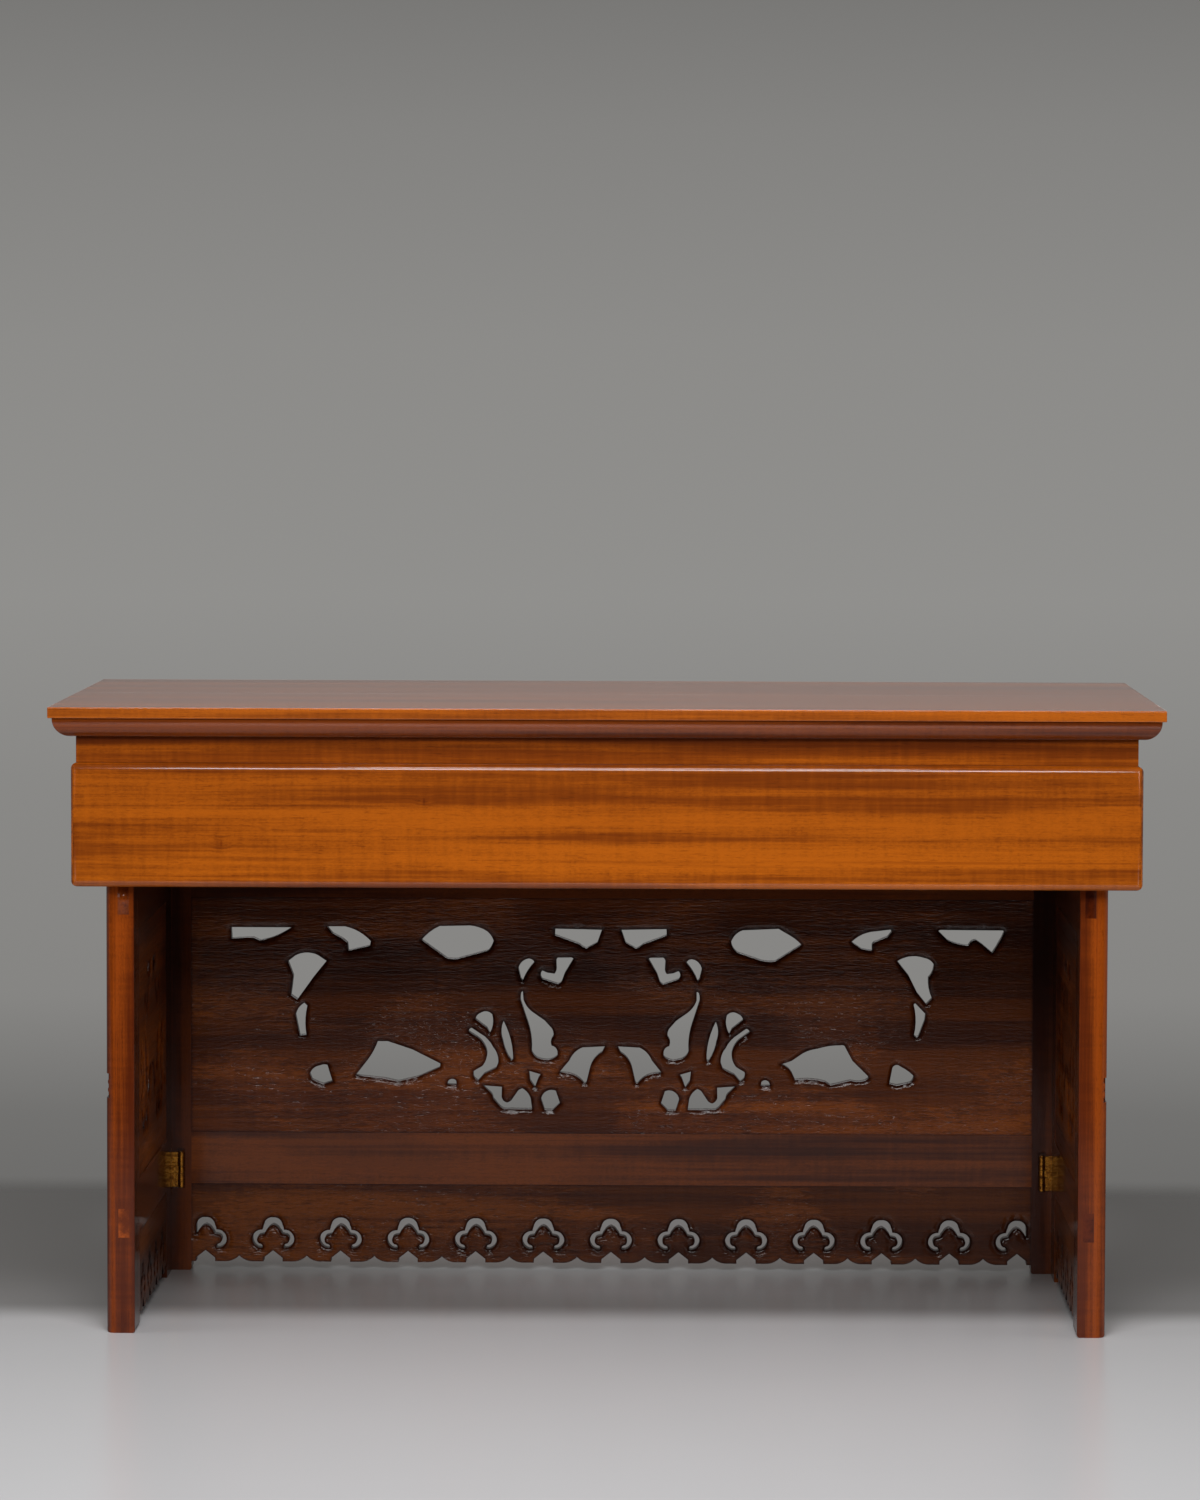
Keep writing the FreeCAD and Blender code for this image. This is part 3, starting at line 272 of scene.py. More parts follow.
@dataclass(frozen=True)
class LacqueredWood:
    """Ribbon-figured wood under a glossy lacquer, stained darker in the knee space, and darkened where the
    mesh carries stain and painted shade.
    """

    name: str
    pale: Colour
    deep: Colour
    inside_tint: Colour = (0.62, 0.52, 0.70)
    end_tint: Colour = (0.27, 0.19, 0.17)
    stain_and_painted_shade_tint: Colour = (0.34, 0.24, 0.20)
    knot_tint: Colour = (0.66, 0.54, 0.48)
    valley_tint: Colour = (0.50, 0.46, 0.44)
    line_tint: Colour = (0.50, 0.40, 0.36)
    pore_tint: Colour = (0.52, 0.42, 0.38)
    specular: float = 0.04
    roughness: float = 0.5
    roughness_spread: float = 0.2
    lacquer: float = 0.8
    lacquer_roughness: float = 0.085
    swell_height: float = 0.07 * MM
    film_grain: float = 0.006 * MM
    film_follows: float = 0.55
    scrape_depth: float = 0.0
    pore_depth: float = 0.05 * MM
    band_share: float = 0.40
    streak_share: float = 0.22
    fibre_share: float = 0.14
    ripple_share: float = 0.14
    painted_sheen_share: float = 0.30
    middle_tone: float = 0.53
    contrast: float = 0.16
    mark_shade: float = 0.0
    knots: tuple[Triple, ...] = ()
    knot_size: tuple[float, float] = (1.3 * MM, 3.4 * MM)
    knot_reach: float = 9 * MM
    knot_push: tuple[float, float] = (0.9 * MM, 1.4 * MM)

    def material(self) -> bpy.types.Material:
        """Builds the finish.

        Returns:
            The finish.
        """
        material, nodes, shader = new_material(self.name)
        grain, knot_dark = self.grain(nodes)
        inside = nodes.attribute("inside")
        streaks = nodes.noise(grain, STREAKS)
        fibres = nodes.noise(grain, FIBRES)
        marks = self.scrapes(nodes, grain)
        colour = self.figure(nodes, grain, streaks, fibres)
        colour = nodes.tint(knot_dark, colour, self.knot_tint)
        colour = self.stained_and_shaded(nodes, colour, inside, marks)
        scraped = nodes.math("MULTIPLY", marks, nodes.total((inside, self.scrape_depth)))
        pores = nodes.math("MULTIPLY", fibres, self.pore_depth)
        swell = nodes.noise(grain, FILM_SWELL)
        film = nodes.total(
            (swell, self.swell_height),
            (fibres, self.film_grain),
            (scraped, self.film_follows),
        )
        smoothest = self.roughness - self.roughness_spread / 2
        roughness = nodes.total((streaks, self.roughness_spread), (1.0, smoothest))
        nodes.feed(shader.inputs["Base Color"], colour)
        nodes.feed(shader.inputs["Roughness"], roughness)
        nodes.feed(shader.inputs["Normal"], nodes.bump(nodes.math("ADD", pores, scraped)))
        nodes.feed(shader.inputs["Coat Normal"], nodes.bump(film))
        shader.inputs["Specular IOR Level"].default_value = self.specular
        shader.inputs["Coat Weight"].default_value = self.lacquer
        shader.inputs["Coat Roughness"].default_value = self.lacquer_roughness
        return material

    def grain(self, nodes: Nodes) -> tuple[bpy.types.NodeSocket, bpy.types.NodeSocket]:
        """The grain's own coordinates, pushed aside round each knot.

        Args:
            nodes: the builder of the material's tree.

        Returns:
            The coordinates, and how dark each point is from a knot.
        """
        grain = nodes.attribute("grain", "Vector")
        place = nodes.add("ShaderNodeTexCoord").outputs["Object"]
        dark = 0.0
        push = 0.0
        for knot in self.knots:
            away = nodes.vector("SUBTRACT", place, knot)
            shape = (1 / self.knot_size[0], 1 / self.knot_size[0], 1 / self.knot_size[1])
            reach = nodes.length(nodes.vector("MULTIPLY", away, shape))
            heart = nodes.math("SUBTRACT", 1.0, nodes.ramp(reach, 0.0, 1.0))
            dark = nodes.math("MAXIMUM", dark, heart)
            bend = nodes.math("SUBTRACT", 1.0, nodes.ramp(nodes.length(away), 0.0, self.knot_reach))
            push = nodes.math("MAXIMUM", push, bend)
        across, through = (nodes.total((push, amount)) for amount in self.knot_push)
        shift = nodes.add("ShaderNodeCombineXYZ", {1: across, 2: through})
        return nodes.vector("ADD", grain, shift.outputs[0]), nodes.total((dark, 1.0))

    def stained_and_shaded(
        self, nodes: Nodes, colour: object, inside: object, marks: object
    ) -> bpy.types.NodeSocket:
        """The colour under the stain, which is darker inside, on end grain, where the mesh carries stain
        and painted shade, and between scrapes.

        Args:
            nodes: the builder of the material's tree.
            colour: the bare wood's colour.
            inside: 1 on inner faces.
            marks: the height of the scraper marks.

        Returns:
            The colour.
        """
        colour = nodes.tint(inside, colour, self.inside_tint)
        colour = nodes.tint(nodes.attribute("end_grain"), colour, self.end_tint)
        # Stain and painted shade that the mesh carries: painted shade under the top's overhang, down the
        # near stiles and in the carved ground, painted shadow in the panels' joints
        colour = nodes.tint(nodes.attribute("hollow"), colour, self.stain_and_painted_shade_tint)
        shade = nodes.total((inside, self.mark_shade))
        valleys = nodes.math("MULTIPLY", nodes.ramp(marks, 0.50, 0.36), shade)
        return nodes.tint(valleys, colour, self.valley_tint)

    def figure(
        self, nodes: Nodes, grain: object, streaks: object, fibres: object
    ) -> bpy.types.NodeSocket:
        """The wood's colour: wide bands, fine streaks, a cross ripple, a painted sheen of pale flecks in
        the pale bands, and dark pores.

        Args:
            nodes: the builder of the material's tree.
            grain: the grain's own coordinates.
            streaks: the noise of the fine streaks.
            fibres: the noise of the fibres.

        Returns:
            The colour.
        """
        bands = nodes.noise(grain, BANDS)
        ripple = nodes.noise(grain, RIPPLE)
        flecks = nodes.noise(grain, FLECKS)
        lines = nodes.noise(grain, DARK_LINES)
        pores = nodes.noise(grain, PORES)
        # Painted sheen: pale flecks in the pale bands stand for the figure's shimmer
        painted_sheen = nodes.math("MULTIPLY", flecks, nodes.ramp(bands, 0.40, 0.60))
        tone = nodes.total(
            (bands, self.band_share),
            (streaks, self.streak_share),
            (fibres, self.fibre_share),
            (ripple, self.ripple_share),
            (painted_sheen, self.painted_sheen_share),
        )
        tone = nodes.ramp(tone, self.middle_tone - self.contrast, self.middle_tone + self.contrast)
        colour = nodes.blend(tone, rgba(self.deep), rgba(self.pale))
        line = nodes.math("MULTIPLY", nodes.ramp(lines, 0.63, 0.72), 0.5)
        colour = nodes.tint(line, colour, self.line_tint)
        pore = nodes.math("MULTIPLY", nodes.ramp(pores, 0.62, 0.74), 0.5)
        return nodes.tint(pore, colour, self.pore_tint)

    def scrapes(self, nodes: Nodes, grain: object) -> bpy.types.NodeSocket:
        """The height, from 0 to 1, of the rough scraper marks that the finish has on inner faces.

        Args:
            nodes: the builder of the material's tree.
            grain: the grain's own coordinates.

        Returns:
            The height.
        """
        long_marks = nodes.noise(grain, LONG_SCRAPES)
        short_marks = nodes.noise(grain, SHORT_SCRAPES)
        patches = nodes.ramp(nodes.noise(grain, SCRAPED_PATCHES), 0.35, 0.62)
        marks = nodes.total((long_marks, 0.5), (short_marks, 0.5))
        return nodes.math("MULTIPLY", marks, nodes.total((patches, 0.6), (1.0, 0.4)))


@dataclass(frozen=True)
class AgedBrass:
    """Plain brass, browned and spotted with age."""

    name: str
    bright: Colour = (0.46, 0.19, 0.026)
    dull: Colour = (0.12, 0.04, 0.01)
    brush_depth: float = 0.02 * MM

    def material(self) -> bpy.types.Material:
        """Builds the finish.

        Returns:
            The finish.
        """
        material, nodes, shader = new_material(self.name)
        place = nodes.add("ShaderNodeTexCoord").outputs["Object"]
        brushed = nodes.noise(place, BRUSHED_LINES)
        age = nodes.ramp(nodes.noise(place, BRASS_SPOTS), 0.40, 0.66)
        nodes.feed(shader.inputs["Base Color"], nodes.blend(age, rgba(self.bright), rgba(self.dull)))
        nodes.feed(shader.inputs["Roughness"], nodes.total((age, 0.22), (brushed, 0.16), (1.0, 0.12)))
        nodes.feed(shader.inputs["Normal"], nodes.bump(nodes.math("MULTIPLY", brushed, self.brush_depth)))
        shader.inputs["Metallic"].default_value = 1.0
        return material


@dataclass(frozen=True)
class PaleFloor:
    """The studio's pale, faintly glossy floor, which fades out at its rim; the table's shadow behind it, a
    pool of light further back and shade in front, where nothing is lit, are painted on it.
    """

    name: str
    colour: Colour = (0.81, 0.81, 0.83)
    cloud_colour: Colour = (0.4, 0.4, 0.4)
    cloud_share: float = 0.04
    shadow_tone: Colour = (1.0, 0.98, 0.955)
    roughness: float = 0.24
    # Painted shadow of the table on the floor behind it, deeper further back; painted shade in front, where
    # nothing is lit; a painted pool of light behind the table
    lit_until: float = -0.100
    step_end: float = -0.020
    painted_near_shadow: float = 0.38
    dark_from: float = 0.16
    painted_far_shadow: float = 0.73
    front_from: float = -0.72
    front_until: float = -1.3
    painted_front_shade: float = 0.06
    edge_from: float = 0.50
    edge_until: float = 0.60
    painted_light_pool_place: Triple = (0.0, 0.37, 0.0)
    painted_light_pool_size: tuple[float, float] = (0.18, 0.40)
    fade_out: tuple[float, float] = (0.6, 0.98)

    def material(self, radius: float) -> bpy.types.Material:
        """Builds the finish.

        Args:
            radius: the floor's radius in metres.

        Returns:
            The finish.
        """
        material, nodes, shader = new_material(self.name)
        place = nodes.add("ShaderNodeTexCoord").outputs["Object"]
        back = nodes.add("ShaderNodeSeparateXYZ", {0: place}).outputs["Y"]
        cloud = nodes.math("MULTIPLY", nodes.noise(place, FLOOR_CLOUDS), self.cloud_share)
        colour = nodes.blend(cloud, rgba(self.colour), rgba(self.cloud_colour))
        # A painted pool of light behind the table lifts the painted shadow there
        from_painted_light_pool = nodes.length(nodes.vector("SUBTRACT", place, self.painted_light_pool_place))
        painted_light_pool = nodes.ramp(from_painted_light_pool, self.painted_light_pool_size[1], self.painted_light_pool_size[0])
        unlit = nodes.math("SUBTRACT", 1.0, painted_light_pool)
        # Painted shadow behind the table and painted shade in front of it
        painted_shades = (
            (self.lit_until, self.step_end, self.painted_near_shadow),
            (self.step_end, self.dark_from, self.painted_far_shadow),
            (self.front_from, self.front_until, self.painted_front_shade),
        )
        for start, end, shade in painted_shades:
            share = nodes.math("MULTIPLY", nodes.ramp(back, start, end), unlit)
            colour = nodes.tint(share, colour, tuple(shade * tone for tone in self.shadow_tone))
        fade = nodes.ramp(nodes.length(place), radius * self.fade_out[0], radius * self.fade_out[1])
        fade = nodes.math("MAXIMUM", fade, nodes.ramp(back, self.edge_from, self.edge_until))
        nodes.feed(shader.inputs["Base Color"], colour)
        nodes.feed(shader.inputs["Alpha"], nodes.math("SUBTRACT", 1.0, fade))
        shader.inputs["Roughness"].default_value = self.roughness
        return material


ORANGE_LACQUER = LacqueredWood(
    name="orange_brown_lacquer",
    pale=(0.47, 0.108, 0.0034),
    deep=(0.19, 0.035, 0.0010),
    contrast=0.17,
    knots=((-0.242, -0.162, 0.3137), (-0.1145, -0.162, 0.3407)),
)
TOP_LACQUER = LacqueredWood(
    name="table_top_lacquer",
    pale=(0.47, 0.110, 0.006),
    deep=(0.18, 0.036, 0.003),
    contrast=0.20,
    swell_height=0.02 * MM,
)
FRAME_LACQUER = LacqueredWood(
    name="screen_frame_lacquer",
    pale=(0.37, 0.070, 0.0035),
    deep=(0.12, 0.018, 0.0008),
    inside_tint=(0.40, 0.46, 0.72),
    lacquer=0.5,
    scrape_depth=0.12 * MM,
    mark_shade=0.35,
)
CARVED_LACQUER = LacqueredWood(
    name="carved_board_lacquer",
    pale=(0.27, 0.070, 0.006),
    deep=(0.09, 0.018, 0.0015),
    contrast=0.20,
    inside_tint=(0.80, 0.72, 0.72),
    lacquer=0.40,
    scrape_depth=0.85 * MM,
    mark_shade=0.8,
    lacquer_roughness=0.13,
)
CLOUD_LACQUER = replace(
    CARVED_LACQUER,
    name="cloud_board_lacquer",
    inside_tint=(0.52, 0.50, 0.72),
    lacquer=0.30,
)
HINGE_BRASS = AgedBrass(name="hinge_brass")
PIN_BRASS = AgedBrass(name="pin_brass", bright=(0.56, 0.28, 0.06), dull=(0.16, 0.06, 0.02))


# Meshes


def finished(name: str, mesh: bpy.types.Mesh, material: bpy.types.Material) -> bpy.types.Object:
    """Links a finished mesh into the scene with its material, smooth shaded.

    Args:
        name: the piece's name.
        mesh: its mesh.
        material: its finish.

    Returns:
        The piece.
    """
    piece = bpy.data.objects.new(name, mesh)
    bpy.context.scene.collection.objects.link(piece)
    mesh.materials.clear()
    mesh.materials.append(material)
    mesh.polygons.foreach_set("use_smooth", [True] * len(mesh.polygons))
    return piece


def applied(piece: bpy.types.Object) -> bpy.types.Object:
    """Turns a piece's modifiers into plain mesh.

    Args:
        piece: the piece, which is changed.

    Returns:
        The same piece.
    """
    seen = piece.evaluated_get(bpy.context.evaluated_depsgraph_get())
    mesh = bpy.data.meshes.new_from_object(seen)
    piece.modifiers.clear()
    old = piece.data
    piece.data = mesh
    bpy.data.meshes.remove(old)
    return piece


def node_copy(node: str) -> bmesh.types.BMesh:
    """A merged copy of a solid's mesh, its flat faces joined into large ones.

    Args:
        node: the solid.

    Returns:
        The copy, which the caller frees.
    """
    copy = bmesh.new()
    copy.from_mesh(frame["nodes"][node].data)
    bmesh.ops.remove_doubles(copy, verts=copy.verts, dist=MERGE_DISTANCE)
    bmesh.ops.dissolve_limit(copy, angle_limit=FLAT_ANGLE, verts=copy.verts, edges=copy.edges)
    return copy


def part_boxes(node: str) -> list[tuple[Vector, Vector]]:
    """The lowest and highest corner of each separate solid in a node.

    Args:
        node: the solid.

    Returns:
        The corners' pairs, sorted by the lowest corner.
    """
    copy = bmesh.new()
    copy.from_mesh(frame["nodes"][node].data)
    bmesh.ops.remove_doubles(copy, verts=copy.verts, dist=MERGE_DISTANCE)
    left = set(copy.verts)
    boxes = []
    while left:
        waiting = [left.pop()]
        corners = []
        while waiting:
            vertex = waiting.pop()
            corners.append(tuple(vertex.co))
            near = {edge.other_vert(vertex) for edge in vertex.link_edges} & left
            left -= near
            waiting += near
        boxes.append((Vector(np.min(corners, 0)), Vector(np.max(corners, 0))))
    copy.free()
    return sorted(boxes, key=lambda box: tuple(box[0]))


def worn_corner(copy: bmesh.types.BMesh, node: str, outward: Vector, radius: float) -> None:
    """Rounds the edges where a stile's outer, near and lower faces meet.

    Args:
        copy: the stile's mesh, which is changed.
        node: the stile's solid.
        outward: the direction that its outer face looks in.
        radius: the radius of the rounding.
    """
    low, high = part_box(node)
    outer = max(low.dot(outward), high.dot(outward))

    def faces_at(vertex: bmesh.types.BMVert) -> set[str]:
        """Which of the three faces a point lies on.

        Args:
            vertex: the point.

        Returns:
            The faces' names.
        """
        gaps = {
            "outer": outer - vertex.co.dot(outward),
            "near": vertex.co.y - low.y,
            "foot": vertex.co.z - low.z,
        }
        return {face for face, gap in gaps.items() if abs(gap) < SAME_PLACE}

    edges = [edge for edge in copy.edges if len(faces_at(edge.verts[0]) & faces_at(edge.verts[1])) > 1]
    bmesh.ops.bevel(
        copy,
        geom=edges,
        offset=radius,
        segments=4,
        profile=0.5,
        affect="EDGES",
        clamp_overlap=True,
    )


def softened(
    name: str,
    node: str,
    material: bpy.types.Material,
    arris: float,
    outward: Vector | None = None,
    worn: float = 0.0,
) -> bpy.types.Object:
    """A solid's copy with its sharp edges rounded.

    Args:
        name: the new piece's name.
        node: the solid.
        material: the finish.
        arris: the width of the rounding, or 0 for crisp edges.
        outward: the direction of the outer face, for a stile with a worn corner.
        worn: the radius of that corner.

    Returns:
        The piece.
    """
    copy = node_copy(node)
    if worn:
        worn_corner(copy, node, outward, worn)
    mesh = bpy.data.meshes.new(name)
    copy.to_mesh(mesh)
    copy.free()
    piece = finished(name, mesh, material)
    if not arris:
        mesh.set_sharp_from_angle(angle=SHARP_ANGLE)
        return piece
    bevel = piece.modifiers.new("arrises", "BEVEL")
    bevel.width = arris
    bevel.segments = 2
    bevel.limit_method = "ANGLE"
    bevel.angle_limit = SHARP_ANGLE
    piece.modifiers.new("shading", "WEIGHTED_NORMAL")
    return applied(piece)


def set_values(mesh: bpy.types.Mesh, name: str, domain: str, values: np.ndarray) -> None:
    """Writes one number per point or face on a mesh."""
    attribute = mesh.attributes.new(name, "FLOAT", domain)
    attribute.data.foreach_set("value", np.asarray(values, dtype=float))


def vertex_places(mesh: bpy.types.Mesh) -> np.ndarray:
    """The place of each point of a mesh, one row per point.

    Args:
        mesh: the mesh.

    Returns:
        Rows of x, y and z.
    """
    places = np.zeros(len(mesh.vertices) * 3)
    mesh.vertices.foreach_get("co", places)
    return places.reshape(-1, 3)


@dataclass
class Board:
    """One wooden board, dressed from the solid that it stands for."""

    node: str
    body: str
    slot: str
    way: Way
    inward: Triple = (0.0, 0.0, 0.0)
    arris: float = 0.45 * MM
    end_shade: float = 1.0
    # Darkening from foot to head: painted shade on the lid's boards and the near stiles
    shade_and_stain: tuple[float, float] = (0.0, 0.0)
    worn: float = 0.0
    figure_stretches: Triple = (97, 41, 23)
    figure_step: float = 0.731
    stile_mouth: float = 7 * MM
    inside_depth: float = 2 * MM

    def build(self, material: bpy.types.Material) -> bpy.types.Object:
        """Builds the board with softened arrises and puts it in the solid's place."""
        name = f"{self.node}_dressed"
        return self.place(softened(name, self.node, material, self.arris, -Vector(self.inward), self.worn))

    def place(self, piece: bpy.types.Object) -> bpy.types.Object:
        """Writes the grain on a piece and hands it to the solid's body.

        Args:
            piece: the dressed piece.

        Returns:
            The same piece.
        """
        self.write_grain(piece.data)
        self.write_faces(piece.data)
        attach(piece, self.body)
        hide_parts(self.node)
        LOG.info("%s rides on %s", piece.name, self.body)
        return piece

    def write_grain(self, mesh: bpy.types.Mesh) -> None:
        """Writes coordinates that run along the board's grain, each board on its own stretch of figure.

        Args:
            mesh: the board's mesh, which is changed.
        """
        along = self.way.value
        order = [along, (along + 1) % 3, (along + 2) % 3]
        seed = sum(ord(letter) * (place + 3) for place, letter in enumerate(self.node))
        shift = np.array([seed % stretch for stretch in self.figure_stretches]) * self.figure_step
        grain = mesh.attributes.new("grain", "FLOAT_VECTOR", "POINT")
        grain.data.foreach_set("vector", (vertex_places(mesh)[:, order] + shift).ravel())

    def write_faces(self, mesh: bpy.types.Mesh) -> None:
        """Marks the faces that look into the knee space and those that show end grain.

        Args:
            mesh: the board's mesh, which is changed.
        """
        normals = np.zeros(len(mesh.polygons) * 3)
        mesh.polygons.foreach_get("normal", normals)
        normals = normals.reshape(-1, 3)
        centres = np.zeros(len(mesh.polygons) * 3)
        mesh.polygons.foreach_get("center", centres)
        inside = self.inside(centres.reshape(-1, 3), normals)
        set_values(mesh, "inside", "FACE", inside)
        ends = np.abs(normals[:, self.way.value]) > 0.95
        set_values(mesh, "end_grain", "FACE", ends * self.end_shade)
        if "hollow" not in mesh.attributes:
            set_values(mesh, "hollow", "POINT", self.stained_and_shaded(mesh))

    def stained_and_shaded(self, mesh: bpy.types.Mesh) -> np.ndarray:
        """How dark each point is painted, from the board's foot to its head: painted shade on the lid's
        boards and the near stiles, a darker inner side on the other frame boards.

        Args:
            mesh: the board's mesh.

        Returns:
            One share per point. A board of the screen is darkened on its inner side only, but a worn one
            all round.
        """
        places = vertex_places(mesh)
        low, high = (np.array(corner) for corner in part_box(self.node))
        share = (places[:, 2] - low[2]) / (high[2] - low[2])
        shade_and_stain = self.shade_and_stain[0] + (self.shade_and_stain[1] - self.shade_and_stain[0]) * share
        if any(self.inward) and not self.worn:
            shade_and_stain = shade_and_stain * ((places - (low + high) / 2) @ np.array(self.inward) > 0)
        return shade_and_stain

    def inside(self, centres: np.ndarray, normals: np.ndarray) -> np.ndarray:
        """Which faces have the darker stain of the knee space.

        Args:
            centres: each face's middle.
            normals: each face's direction.

        Returns:
            1 for an inner face and 0 for an outer one.
        """
        inward = np.array(self.inward)
        if not inward.any():
            return np.zeros(len(centres))
        low, high = (np.array(corner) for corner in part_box(self.node))
        facing = normals @ inward
        depth = (centres - (low + high) / 2) @ inward
        near_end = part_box("left_near_stile")[0].y
        screen_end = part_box("front_stile_right")[1].x
        inner = (facing > 0.5) | ((facing > -0.5) & (depth > -self.inside_depth))
        inner &= ~((centres[:, 1] < near_end + self.stile_mouth) & (normals[:, 1] < -0.3))
        inner &= ~((np.abs(centres[:, 0]) > screen_end - 0.5 * MM) & (np.abs(normals[:, 0]) > 0.5))
        return inner.astype(float)


# Carving


def kd_tree(points: np.ndarray) -> kdtree.KDTree:
    """A search tree over flat points.

    Args:
        points: rows of across and up.

    Returns:
        The tree, ready for searches.
    """
    tree = kdtree.KDTree(len(points))
    for number, (across, up) in enumerate(points):
        tree.insert((across, up, 0), number)
    tree.balance()
    return tree


def distances(points: np.ndarray, rings: list[np.ndarray]) -> np.ndarray:
    """How far each point lies from the nearest of several rings."""
    tree = kd_tree(np.concatenate([resampled(ring, FINE_STEP) for ring in rings]))
    return np.array([tree.find((across, up, 0))[2] for across, up in points])


def eased(value: np.ndarray) -> np.ndarray:
    """A smooth step from 0 to 1."""
    value = np.clip(value, 0, 1)
    return value * value * (3 - 2 * value)


def rounded(offset: np.ndarray, half_width: float) -> np.ndarray:
    """The height of a half-round bead across its width."""
    return np.sqrt(np.clip(1 - (offset / half_width) ** 2, 0, 1))


def uneven(points: np.ndarray, scale: float, seed: float) -> np.ndarray:
    """Smooth unevenness between -1 and 1, with a fixed seed."""
    return np.array([noise.noise(Vector((across * scale, up * scale, seed))) for across, up in points])


def area_of(ring: np.ndarray) -> float:
    """Twice the area that a ring encloses, positive where it runs anticlockwise."""
    after = np.roll(ring, -1, 0)
    return float(np.sum(ring[:, 0] * after[:, 1] - after[:, 0] * ring[:, 1]))


def resampled(ring: np.ndarray, step: float) -> np.ndarray:
    """Divides a ring's long edges and drops points that lie too close together.

    Args:
        ring: the ring's points in order.
        step: the longest edge that stays whole.

    Returns:
        The new ring.
    """
    kept = [ring[0]]
    for point in ring[1:]:
        if np.linalg.norm(point - kept[-1]) > step * TOO_CLOSE:
            kept.append(point)
    if len(kept) > 3 and np.linalg.norm(kept[-1] - kept[0]) < step * TOO_CLOSE:
        kept.pop()
    points = []
    for start, end in zip(kept, kept[1:] + kept[:1]):
        count = max(1, math.ceil(np.linalg.norm(end - start) / step))
        points += [start + (end - start) * number / count for number in range(count)]
    return np.array(points)


def widened(ring: np.ndarray, amount: float) -> np.ndarray:
    """Moves a ring's points to the right of the way it runs.

    Args:
        ring: the ring's points in order.
        amount: how far they move.

    Returns:
        The moved ring.
    """
    before = ring - np.roll(ring, 1, 0)
    after = np.roll(ring, -1, 0) - ring
    before /= np.linalg.norm(before, axis=1)[:, None] + TINY
    after /= np.linalg.norm(after, axis=1)[:, None] + TINY
    along = before + after
    along /= np.linalg.norm(along, axis=1)[:, None] + TINY
    return ring + np.stack([along[:, 1], -along[:, 0]], 1) * amount


@dataclass
class Outline:
    """The closed outlines of a pierced board's face: the board's own edge first, then its piercings."""

    rings: list[np.ndarray]

    @property
    def holes(self) -> list[np.ndarray]:
        """The piercings' rings."""
        return self.rings[1:]

    def contains(self, points: np.ndarray) -> np.ndarray:
        """Which points lie in the wood, by the even-odd rule.

        Args:
            points: rows of across and up.

        Returns:
            One truth value per point.
        """
        inside = np.zeros(len(points), bool)
        for ring in self.rings:
            near = np.all((points >= ring.min(0)) & (points <= ring.max(0)), axis=1)
            chosen = points[near]
            hits = np.zeros(len(chosen), bool)
            for start, end in zip(ring, np.roll(ring, -1, 0)):
                crosses = (start[1] > chosen[:, 1]) != (end[1] > chosen[:, 1])
                slope = (end[0] - start[0]) / ((end[1] - start[1]) or TINY)
                hits ^= crosses & (chosen[:, 0] < (chosen[:, 1] - start[1]) * slope + start[0])
            inside[near] ^= hits
        return inside


# The rings of petals of a flower, from the longest: their reach, their number and their height
PETAL_RINGS = ((1.0, 8, 0.50), (0.76, 8, 0.72), (0.52, 6, 0.9))


@dataclass
class Relief:
    """A carved face: a flat one unless a subclass says otherwise."""

    depth: float = 0.0

    def depths(self, points: np.ndarray, edge: np.ndarray) -> np.ndarray:
        """How far each point lies under the board's face.

        Args:
            points: rows of across and up.
            edge: not used; each point's distance from the nearest piercing.

        Returns:
            One depth per point.
        """
        return np.zeros(len(points))


@dataclass
class ChippedRim(Relief):
    """Piercings whose edges the knife has broken unevenly, as a panel's inner face shows."""

    depth: float = 1.1 * MM
    width: float = 2.4 * MM
    wave_scale: float = 110.0
    facet_scale: float = 420.0
    seed: float = 3.0

    def depths(self, points: np.ndarray, edge: np.ndarray) -> np.ndarray:
        """The broken edges.

        Args:
            points: rows of across and up.
            edge: each point's distance from the nearest piercing.

        Returns:
            One depth per point.
        """
        width = self.width * (1 + 0.7 * uneven(points, self.wave_scale, self.seed))
        cut = np.clip(1 - edge / width, 0, 1)
        facets = 0.75 + 0.5 * uneven(points, self.facet_scale, self.seed + 5)
        return self.depth * cut**1.4 * facets


@dataclass
class CloudRelief(Relief):
    """Cloud piercings with a knife line round them and a lumpy, carved tongue."""

    depth: float = 0.8 * MM
    edge_round: float = 0.9 * MM
    line_place: float = 2.1 * MM
    line_width: float = 0.7 * MM
    lump_reach: float = 3.2 * MM
    lump_scale: float = 330.0
    seed: float = 11.0

    def depths(self, points: np.ndarray, edge: np.ndarray) -> np.ndarray:
        """The rolled edge, the knife line and the lumps between them.

        Args:
            points: rows of across and up.
            edge: each point's distance from the nearest piercing.

        Returns:
            One depth per point.
        """
        roll = 1 - rounded(1 - np.clip(edge / self.edge_round, 0, 1), 1.0)
        line = np.exp(-(((edge - self.line_place) / self.line_width) ** 2))
        near = np.exp(-((edge / self.lump_reach) ** 2))
        lumps = np.clip(uneven(points, self.lump_scale, self.seed), -0.4, 1) * near
        return self.depth * np.clip(0.6 * roll + 0.25 * line + 0.8 * lumps + 0.28 * near, 0, 1.4)


